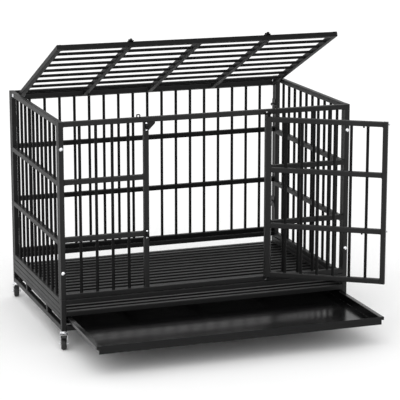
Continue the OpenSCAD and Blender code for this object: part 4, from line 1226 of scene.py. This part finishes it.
class CRATE_OT_fasteners(bpy.types.Operator):
    """Corner bolts, pivot bolts, nuts, joining plates, the stop plate and the lid's eyes"""

    bl_idname = "crate.fasteners"
    bl_label = "Fasteners"

    def execute(self, context):
        crate = context.scene.crate
        f, d, w = crate.frame, crate.lid, crate.fasteners
        corners = [(s * f.post, z) for s in SIGNS for z in (w.corner_low, w.corner_high)]
        plate_z = (w.plate_low, w.plate_high)

        places = [((x, -f.half_depth, z), along_y(-1)) for x, z in corners]
        bm = self.bolt(w.corner_length)
        scattered("corner_bolt_set", bm, places, "zinc", "crate", ["corner_bolts"])
        places = [((s * f.half_length, d.pivot_y, d.level), along_x(s)) for s in SIGNS]
        bm = self.bolt(w.pivot_length)
        scattered("lid_pivot_bolt_set", bm, places, "zinc", "crate", ["lid_pivot_bolts"])

        bm = bmesh.new()
        hex_body(bm, NUT.width, NUT.height, NUT.bore)
        places = [((x, -f.reach, z), along_y(1)) for x, z in corners]
        places += [((s * w.nut_x, d.pivot_y, d.level), along_x(-s)) for s in SIGNS]
        scattered("lock_nut_set", bm, places, "dark_zinc", "crate", ["lock_nuts"])

        bm = bmesh.new()
        hex_body(bm, PLATE.head, PLATE.head_height)
        x = f.inner_x - PLATE.sheet
        heads = [(s, y, z) for s in SIGNS for z in plate_z for y in (f.side, f.panel)]
        places = [((s * x, y, z), along_x(-s)) for s, y, z in heads]
        scattered("plate_bolt_set", bm, places, "dark_zinc", "crate", ["plate_bolts"])

        bm = bmesh.new()
        front, back = f.reach + PLATE.margin, f.half_depth - PLATE.margin
        half = PLATE.height / 2
        for s in SIGNS:
            low, high = sorted((s * f.inner_x, s * x))
            for z in plate_z:
                block(bm, (low, front, z - half), (high, back, z + half))
        piece("corner_joining_plates", bm, "paint", "crate", ["joining_plates"], bevel=0.0009)

        bm = bmesh.new()
        h, wide, edge = f.half, STOP.width, STOP.edge
        outline = [(-h, -edge - wide), (0, -edge - wide), (wide, -edge), (wide, h), (-h, h)]
        corner = Matrix.Translation((-f.doorway / 2, 0, f.top - f.tube)) @ DRAWN_ALONG_Y
        prism(bm, outline, -f.inner_y, -f.inner_y + PLATE.sheet, corner)
        piece("corner_stop_plate", bm, "paint", "crate", ["door_stop_plate"], bevel=0.0006)

        bm = bmesh.new()
        sink, bend, half = 0.0004, 0.0026, EYE.wall / 2
        front, back = -f.half_depth + EYE.front, -f.half_depth + EYE.back
        for s in SIGNS:
            top = f.top + EYE.height - half
            path = arch(s * d.bolt_x, EYE.half - half, f.top - sink, top)
            folded(bm, path, bend, EYE.wall, front, back, DRAWN_ALONG_Y)
        piece("lid_bolt_eyes", bm, "paint", "crate", ["lid_eyes"], bevel=0.0005)
        return {"FINISHED"}

    def bolt(self, reach):
        """A bolt with a domed head."""
        bm = bmesh.new()
        domed_head(bm, BOLT.head / 2, BOLT.rise, BOLT.socket, BOLT.depth)
        threaded(bm, BOLT.size / 2, -reach, BOLT.seat)
        return bm


def turned_about(place, turn, axis):
    """A turn about an axis through a place."""
    place = Vector(place)
    return Matrix.Translation(place) @ Matrix.Rotation(turn, 4, axis) @ Matrix.Translation(-place)


def door_pose():
    """The door turned open about its hinge."""
    d = bpy.context.scene.crate.door
    return turned_about((d.hinge_x, d.hinge_y, 0), d.open, "Z")


def lid_pose():
    """The lid turned open about its pivots."""
    d = bpy.context.scene.crate.lid
    return turned_about((0, d.pivot_y, d.level), -d.open, "X")


class CRATE_OT_door(bpy.types.Operator):
    """The door with its bars and hinge barrels, and the barrels and pins on the jamb"""

    bl_idname = "crate.door"
    bl_label = "Door"

    def execute(self, context):
        f, d = context.scene.crate.frame, context.scene.crate.door
        h, y = f.half, d.middle_y
        pose = door_pose()
        z = [d.low + h, *f.levels(f.panel_foot)[1:3], d.high - h]
        inner = d.half - f.tube
        pairs = [standing(s * (d.half - h), y, d.low, d.high) for s in SIGNS]
        pairs += [lengthwise(-inner, inner, y, k) for k in z]
        tubes("door_tubes", pairs, "door", ["door_uprights", "door_rails"], pose)
        gap = (2 * inner - d.bars * f.bar) / (d.bars + 1)
        xs = [(k - (d.bars - 1) / 2) * (gap + f.bar) for k in range(d.bars)]
        low, high = d.low + f.tube - f.bar_seat, d.high - f.tube + f.bar_seat
        pairs = [standing(x, y, low, high) for x in xs]
        bars("door_round_bars", pairs, "door", ["door_bars"], pose)
        rings = [((x, y, k), t) for x in xs for k, t in rail_faces(z, h)]
        bar_rings("door_bar_rings", rings, "door", pose)
        ends = [(s * inner, y, k) for s in SIGNS for k in rail_sides(z, h)[1:-1]]
        beads("door_welds", [across(at, 1, h) for at in ends], "door", pose)

        soft = 0.00025
        bm = self.barrels(d, (d.high - BARREL.door, d.low), BARREL.door, -1, y - h)
        piece("door_leaf_barrels", bm, "paint", "door", ["door_hinge_barrels"], soft, pose)
        reach = BARREL.gap + BARREL.jamb
        lows = (d.high + BARREL.gap, d.low - reach)
        bm = self.barrels(d, lows, BARREL.jamb, 1, -f.half_depth)
        piece("jamb_leaf_barrels", bm, "satin", "crate", ["jamb_hinge_barrels"], soft)
        bm = bmesh.new()
        for level, sense in ((d.high + reach, 1), (d.low - reach, -1)):
            turned(bm, PIN, (d.hinge_x, d.hinge_y, level), (0, 0, sense), sides=28)
        piece("hinge_pin_pair", bm, "zinc", "crate", ["door_hinge_pins"])
        return {"FINISHED"}

    def barrels(self, d, lows, height, side, face):
        """Hinge barrels with the leaves that hold them on one side of the axis."""
        bm = bmesh.new()
        left, right = sorted((d.hinge_x + side * LEAF.near, d.hinge_x + side * LEAF.far))
        for low in lows:
            high = low + height
            hollow(bm, d.barrel / 2, BARREL.bore / 2, low, high, (d.hinge_x, d.hinge_y, 0))
            block(bm, (left, face - LEAF.sheet, low), (right, face, high))
        return bm


class CRATE_OT_door_bolts(bpy.types.Operator):
    """The door's slide bolts with their guides, keepers and screws"""

    bl_idname = "crate.door_bolts"
    bl_label = "Door bolts"

    def execute(self, context):
        crate = context.scene.crate
        f, d = crate.frame, crate.door
        pose = door_pose()
        heights = {"upper": d.bolt_upper, "lower": d.bolt_lower}
        edge = -d.half
        half_bolt = d.bolt / 2
        for name, z in heights.items():
            bm = bmesh.new()
            turn = d.bolt_tip + d.bolt_length
            end = z - d.handle - half_bolt
            path = [(d.bolt_tip, d.bolt_y, z), (turn, d.bolt_y, z), (turn, d.bolt_y, end)]
            rod(bm, path, half_bolt, d.bolt_bend, sides=24)
            nodes = [f"{name}_door_bolt"]
            made = piece(f"{name}_slide_bolt", bm, "zinc", f"{name}_bolt", nodes, pose=pose)
            made.data.materials.append(material("plastic"))
            for face in made.data.polygons:
                face.material_index = int(face.center.z < z - half_bolt)

        front = d.middle_y - f.half
        back = front - GUIDE.plate
        reach = half_bolt + GUIDE.play + GUIDE.wall / 2
        half, bend, steps = 0.005, 0.0032, 5
        bm = bmesh.new()
        for z in heights.values():
            low = (edge + DOOR_GUIDE.low, back, z - GUIDE.half)
            block(bm, low, (edge + DOOR_GUIDE.high, front, z + GUIDE.half))
            for x in (edge + k for k in DOOR_GUIDE.loops):
                path = [(y, k) for k, y in arch(z, reach, back + GUIDE.plate / 2, d.bolt_y - reach)]
                folded(bm, path, bend, GUIDE.wall, x - half, x + half, DRAWN_ALONG_X, steps)
        nodes = ["door_bolt_guides"]
        piece("door_bolt_guide_plates", bm, "satin", "door", nodes, bevel=0.0004, pose=pose)

        bm = bmesh.new()
        turned(bm, SCREW, sides=20)
        rise = 0.007
        offsets = [(x, s * rise) for x in DOOR_GUIDE.screws for s in SIGNS]
        heads = [(edge + x, back, z + k) for z in heights.values() for x, k in offsets]
        places = [(at, along_y(-1)) for at in heads]
        scattered("guide_screw_set", bm, places, "zinc", "door", ["guide_screws"], pose)

        bm = bmesh.new()
        jamb = -f.doorway / 2 - f.half
        reach = half_bolt + KEEPER.gap + KEEPER.sheet / 2
        y, far = -f.half_depth - KEEPER.sheet / 2, d.bolt_y - reach
        for z in heights.values():
            path = [(y, k) for k in (z - reach - KEEPER.foot, z - reach)]
            path += [(far, z - reach), (far, z + reach)]
            path += [(y, k) for k in (z + reach, z + reach + KEEPER.foot)]
            low, high = jamb - half, jamb + half
            folded(bm, path, KEEPER.bend, KEEPER.sheet, low, high, DRAWN_ALONG_X, steps)
        piece("bolt_keeper_straps", bm, "satin", "crate", ["door_keepers"], bevel=0.0004)

        bm = bmesh.new()
        domed_head(bm, radius=0.004, height=0.0026, socket=0.0024, depth=0.0012)
        y = -f.half_depth - KEEPER.sheet
        heads = [(jamb, y, z + s * KEEPER.screw) for z in heights.values() for s in SIGNS]
        places = [(at, along_y(-1)) for at in heads]
        scattered("keeper_screw_set", bm, places, "zinc", "crate", ["keeper_screws"])
        return {"FINISHED"}


class CRATE_OT_lid(bpy.types.Operator):
    """The lid of tube and round slats, with its slide bolts and their guides"""

    bl_idname = "crate.lid"
    bl_label = "Lid"

    def execute(self, context):
        crate = context.scene.crate
        f, d = crate.frame, crate.lid
        h, z = f.half, d.level
        pose = lid_pose()
        inner_x, inner_y = d.half - f.tube, d.reach - f.tube
        cross = (-d.bar_x, 0.0, d.bar_x)
        pairs = [crosswise(s * (d.half - h), -d.reach, d.reach, z) for s in SIGNS]
        pairs += [lengthwise(-inner_x, inner_x, s * (d.reach - h), z) for s in SIGNS]
        pairs += [crosswise(x, -inner_y, inner_y, z) for x in cross]
        nodes = ["lid_side_rails", "lid_end_rails", "lid_cross_bars"]
        tubes("lid_tubes", pairs, "lid", nodes, pose, finish="satin")
        ys = [(k - (d.slats - 1) / 2) * d.pitch for k in range(d.slats)]
        end = inner_x + f.bar_seat
        pairs = [lengthwise(-end, end, y, z) for y in ys]
        bars("lid_round_slats", pairs, "lid", ["lid_slats"], pose)
        rings = []
        for y in ys:
            rings += [((s * inner_x, y, z), along_x(-s)) for s in SIGNS]
            rings += [((x + s * h, y, z), along_x(s)) for x in cross for s in SIGNS]
        bar_rings("lid_slat_rings", rings, "lid", pose)
        ends = []
        for s in SIGNS:
            ends += [(s * inner_x, t * inner_y, z) for t in SIGNS]
            ends += [(x + t * h, s * inner_y, z) for x in cross for t in SIGNS]
        beads("lid_welds", [across(at, 2, h) for at in ends], "lid", pose)

        top = z + h
        reach = d.bolt / 2 + GUIDE.play + GUIDE.wall / 2
        half, bend = 0.004, 0.003
        bm = bmesh.new()
        for s in SIGNS:
            x = s * d.bolt_x
            low = (x - GUIDE.half, LID_GUIDE.low, top)
            block(bm, low, (x + GUIDE.half, LID_GUIDE.high, top + GUIDE.plate))
            for y in LID_GUIDE.loops:
                path = arch(x, reach, top + GUIDE.plate / 2, d.bolt_level + reach)
                folded(bm, path, bend, GUIDE.wall, y - half, y + half, DRAWN_ALONG_Y, steps=5)
        nodes = ["lid_bolt_guides"]
        piece("lid_bolt_guide_plates", bm, "satin", "lid", nodes, bevel=0.0004, pose=pose)

        ball, stem = KNOB.ball / 2, KNOB.stem / 2
        start = math.acos(stem / ball)
        knob = [(0.0, 0.0), (stem, 0.0)]
        for a in even(-start, math.pi / 2, 9):
            knob.append((max(ball * math.cos(a), 0.0), KNOB.height + ball * math.sin(a)))
        for name, s in SIDES.items():
            bm = bmesh.new()
            x = s * d.bolt_x
            path = crosswise(x, d.bolt_tip, d.bolt_tip + d.bolt_length, d.bolt_level)
            rod(bm, path, d.bolt / 2, bend, sides=20)
            turned(bm, knob, (x, d.knob_y, d.bolt_level), sides=24)
            nodes = [f"{name}_lid_bolt"]
            piece(f"{name}_lid_slide_bolt", bm, "paint", f"{name}_top_bolt", nodes, pose=pose)
        return {"FINISHED"}


class CRATE_OT_tray(bpy.types.Operator):
    """The pull-out tray: one sheet folded up on four sides, with flanges and lips on two"""

    bl_idname = "crate.tray"
    bl_label = "Tray"

    def execute(self, context):
        t = context.scene.crate.tray
        half, lap = t.sheet / 2, 0.0001
        x, rim = t.width / 2 - half, t.width / 2 + t.flange
        out = rim - half
        low, high = t.bottom + half, t.bottom + t.height - half
        lip = t.bottom + t.height - t.lip
        back = t.front + t.length
        bm = bmesh.new()
        path = [(x, low), (x, high), (out, high), (out, lip)]
        path = [(-a, b) for a, b in reversed(path)] + path
        folded(bm, path, t.bend, t.sheet, t.front, back, DRAWN_ALONG_Y)
        block(bm, (-x + half, back - t.sheet, low + half), (x - half, back, high + half))
        wide, top = t.front_width / 2, high + half + lap
        wall = [(-wide, t.bottom), (wide, t.bottom), (wide, lip), (rim, lip)]
        wall += [(rim, top), (-rim, top), (-rim, lip), (-wide, lip)]
        prism(bm, wall, t.front - lap, t.front + t.sheet, DRAWN_ALONG_Y)
        piece("folded_tray", bm, "tray", "pull_out_tray", ["tray"], bevel=0.00025)
        return {"FINISHED"}


class CRATE_OT_casters(bpy.types.Operator):
    """The casters: stems, forks, wheels and the brake levers of the front two"""

    bl_idname = "crate.casters"
    bl_label = "Casters"

    def execute(self, context):
        f, d = context.scene.crate.frame, context.scene.crate.casters
        places = {name: (sx * f.post, sy * f.panel) for name, (sx, sy) in CORNERS.items()}
        foot, half = f.base_foot, f.half - SOCKET.play
        bm = bmesh.new()
        for x, y in places.values():
            square_block(bm, x, y, half, foot, foot + SOCKET.height)
            turned(bm, STEM, (x, y, foot))
        piece("caster_stem_set", bm, "zinc", "crate", ["caster_stems"])

        for name, (x, y) in places.items():
            turn = Matrix.Rotation(d.turn + (math.pi if y > 0 else 0.0), 4, "Z")
            pose = Matrix.Translation((x, y, 0)) @ turn
            self.fork(d, name, y < 0, pose)
            self.wheel(d, name, pose)
            if y < 0:
                self.brake(d, name, pose)
        return {"FINISHED"}

    def fork(self, d, name, braked, pose):
        """A stamped fork: bearing cup, crown, two cheeks and the riveted axle."""
        bm = bmesh.new()
        half = FORK.half
        top = d.crown_level + FORK.crown
        turned(bm, CUP, (0, 0, top), sides=40)
        outer = d.cheek_x + d.cheek
        outline = [(half, top), (-half, top)]
        if braked:
            ear = mm((-3, 4.5), (-4.5, 3), (-4.5, -3), (-3, -4.5))
            outline += [(a - d.brake_y, b + d.brake_level) for a, b in ear]
        start, end = math.radians(168), math.radians(372)
        for a in even(start, end, 13):
            along, rise = FORK.rounding * math.cos(a), FORK.rounding * math.sin(a)
            outline.append((along - d.trail, rise + d.axle_level))
        inset, lap = 0.0006, 0.0010
        for s in SIGNS:
            low, high = sorted((s * d.cheek_x, s * outer))
            prism(bm, outline, low, high, DRAWN_ALONG_X)
            low, high = sorted((s * d.cheek_x, s * (d.cheek_x - lap)))
            block(bm, (low, -half + inset, top - FORK.crown), (high, half - inset, top))
            turned(bm, RIVET, (s * outer, -d.trail, d.axle_level), (s, 0, 0), sides=24)
        reach, r = d.cheek_x, FORK.axle / 2
        axle = [(0.0, -reach), (r, -reach), (r, reach), (0.0, reach)]
        turned(bm, axle, (0, -d.trail, d.axle_level), (1, 0, 0), sides=24)
        nodes = [f"{name}_fork"]
        piece(f"{name}_caster_fork", bm, "zinc", f"{name}_swivel", nodes, bevel=0.0005, pose=pose)

    def wheel(self, d, name, pose):
        """A wheel: rounded tread with two grooves, a stepped side and a hub on the axle."""
        bm = bmesh.new()
        r, w, crown = d.wheel / 2, d.wheel_width / 2, d.tread_round
        web = r - crown
        hub = mm((3.08, -0.4), (3.5, 0), (7.4, 0), (8, -0.5), (8, -2.7), (8.6, -3))
        shoulder = mm((-2.6, -3), (-1.8, -2.4), (-1.4, -0.4), (-0.8, 0))
        half = [(a, w + b) for a, b in hub] + [(web + a, w + b) for a, b in shoulder]
        for a in even(0.0, math.pi / 2, 7):
            half.append((web + crown * math.sin(a), w - crown + crown * math.cos(a)))
        half += [(r + a, b) for a, b in mm((0, 2.8), (-0.5, 2.4), (-0.5, 1.8), (0, 1.4))]
        profile = half + [(a, -b) for a, b in reversed(half)] + half[:1]
        turned(bm, profile, (0, -d.trail, d.axle_level), (1, 0, 0), sides=48)
        nodes = [f"{name}_wheel"]
        piece(f"{name}_caster_wheel", bm, "rubber", f"{name}_roller", nodes, pose=pose)

    def brake(self, d, name, pose):
        """A brake lever: its barrel and pin, and a pedal with grip ribs."""
        bm = bmesh.new()
        play, inset, near = 0.0005, 0.001, 0.002
        width, reach = d.cheek_x - play, d.cheek_x + d.cheek
        pin, r, c = LEVER.pin / 2, LEVER.barrel / 2, CHAMFER
        half = [(0.0, reach), (pin, reach), (pin, width), (r - c, width), (r, width - c)]
        profile = [(a, -b) for a, b in half] + list(reversed(half))
        turned(bm, profile, axis=(1, 0, 0), sides=28)
        first = len(bm.verts)
        edge, half = width - inset, LEVER.sheet / 2
        block(bm, (-edge, -d.pedal, -half), (edge, -near, half))
        rib, pitch, start, end = 0.0006, 0.0036, 0.0028, edge - 0.002
        low, high = 0.0012, 0.0023
        for k in range(d.ribs):
            y = -d.pedal + start + k * pitch
            block(bm, (-end, y - rib, low), (end, y + rib, high))
        bm.verts.ensure_lookup_table()
        tilt = Matrix.Rotation(-d.pedal_slope, 4, "X")
        bmesh.ops.transform(bm, matrix=tilt, verts=bm.verts[first:])
        place = pose @ Matrix.Translation((0, -d.brake_y, d.brake_level))
        body, nodes = f"{name}_lever", [f"{name}_brake"]
        piece(f"{name}_brake_pedal", bm, "plastic", body, nodes, bevel=0.0004, pose=place)


class CRATE_OT_stage(bpy.types.Operator):
    """Pale floor, soft studio light and the camera"""

    bl_idname = "crate.stage"
    bl_label = "Stage"

    def execute(self, context):
        scene = context.scene
        d = scene.crate.stage
        e = d.extent
        ground = bpy.data.meshes.new("ground")
        corners = [(x * e, y * e, d.ground) for x, y in ((-1, -1), (1, -1), (1, 1), (-1, 1))]
        ground.from_pydata(corners, [], [(0, 1, 2, 3)])
        ground.materials.append(material("ground"))
        floor = show(ground, "ground")

        sun = bpy.data.lights.new("key_light", "SUN")
        sun.energy = d.key
        sun.angle = d.softness
        lamp = show(sun, "key_light")
        lamp.rotation_euler = Vector(d.key_way).to_track_quat("-Z", "Y").to_euler()

        world = bpy.data.worlds.new("studio")
        scene.world = world
        world.use_nodes = True
        tree = world.node_tree
        tree.nodes.clear()
        # The camera and the reflections see white; the light on the object is the sky's own.
        path = tree.nodes.new("ShaderNodeLightPath")
        camera_ray, glossy_ray, through_ray = (
            Wire(tree, path.outputs[f"Is {kind} Ray"])
            for kind in ("Camera", "Glossy", "Transmission")
        )
        strength = (camera_ray + glossy_ray + through_ray) * (1.0 - d.sky) + d.sky
        values = {"Color": (1.0, 1.0, 1.0), "Strength": strength}
        back = add_node(tree, "ShaderNodeBackground", {}, values)
        add_node(tree, "ShaderNodeOutputWorld", {}, {"Surface": back})

        lens = bpy.data.cameras.new("camera")
        lens.lens = d.lens
        lens.sensor_width = 36.0
        lens.clip_end = 200.0
        camera = show(lens, "camera")
        camera.location = d.camera
        camera.rotation_euler = Euler((d.tilt, 0.0, d.heading))
        scene.camera = camera
        scene.view_settings.view_transform = "Standard"
        return {"FINISHED"}


PIECES = (
    CRATE_OT_panels,
    CRATE_OT_base,
    CRATE_OT_fasteners,
    CRATE_OT_door,
    CRATE_OT_door_bolts,
    CRATE_OT_lid,
    CRATE_OT_tray,
    CRATE_OT_casters,
    CRATE_OT_stage,
)


class CRATE_PT_build(bpy.types.Panel):
    """Lists the pieces of the crate"""

    bl_idname = "CRATE_PT_build"
    bl_label = "Dog crate"
    bl_space_type = "VIEW_3D"
    bl_region_type = "UI"
    bl_category = "Crate"

    def draw(self, context):
        for operator in PIECES:
            self.layout.operator(operator.bl_idname)
        for group in CRATE_PG_all.__annotations__:
            box = self.layout.box()
            box.label(text=group.capitalize())
            values = getattr(context.scene.crate, group)
            for name in values.__annotations__:
                box.prop(values, name)


CLASSES = (
    CRATE_PG_frame,
    CRATE_PG_floor,
    CRATE_PG_tray,
    CRATE_PG_fasteners,
    CRATE_PG_door,
    CRATE_PG_lid,
    CRATE_PG_casters,
    CRATE_PG_colours,
    CRATE_PG_stage,
    CRATE_PG_all,
    *PIECES,
    CRATE_PT_build,
)


def register():
    for kind in CLASSES:
        bpy.utils.register_class(kind)
    bpy.types.Scene.crate = PointerProperty(type=CRATE_PG_all)


def unregister():
    del bpy.types.Scene.crate
    for kind in reversed(CLASSES):
        bpy.utils.unregister_class(kind)


def main():
    register()
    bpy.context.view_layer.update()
    bpy.ops.crate.panels()
    bpy.ops.crate.base()
    bpy.ops.crate.fasteners()
    bpy.ops.crate.door()
    bpy.ops.crate.door_bolts()
    bpy.ops.crate.lid()
    bpy.ops.crate.tray()
    bpy.ops.crate.casters()
    bpy.ops.crate.stage()


if __name__ == "__main__":
    main()
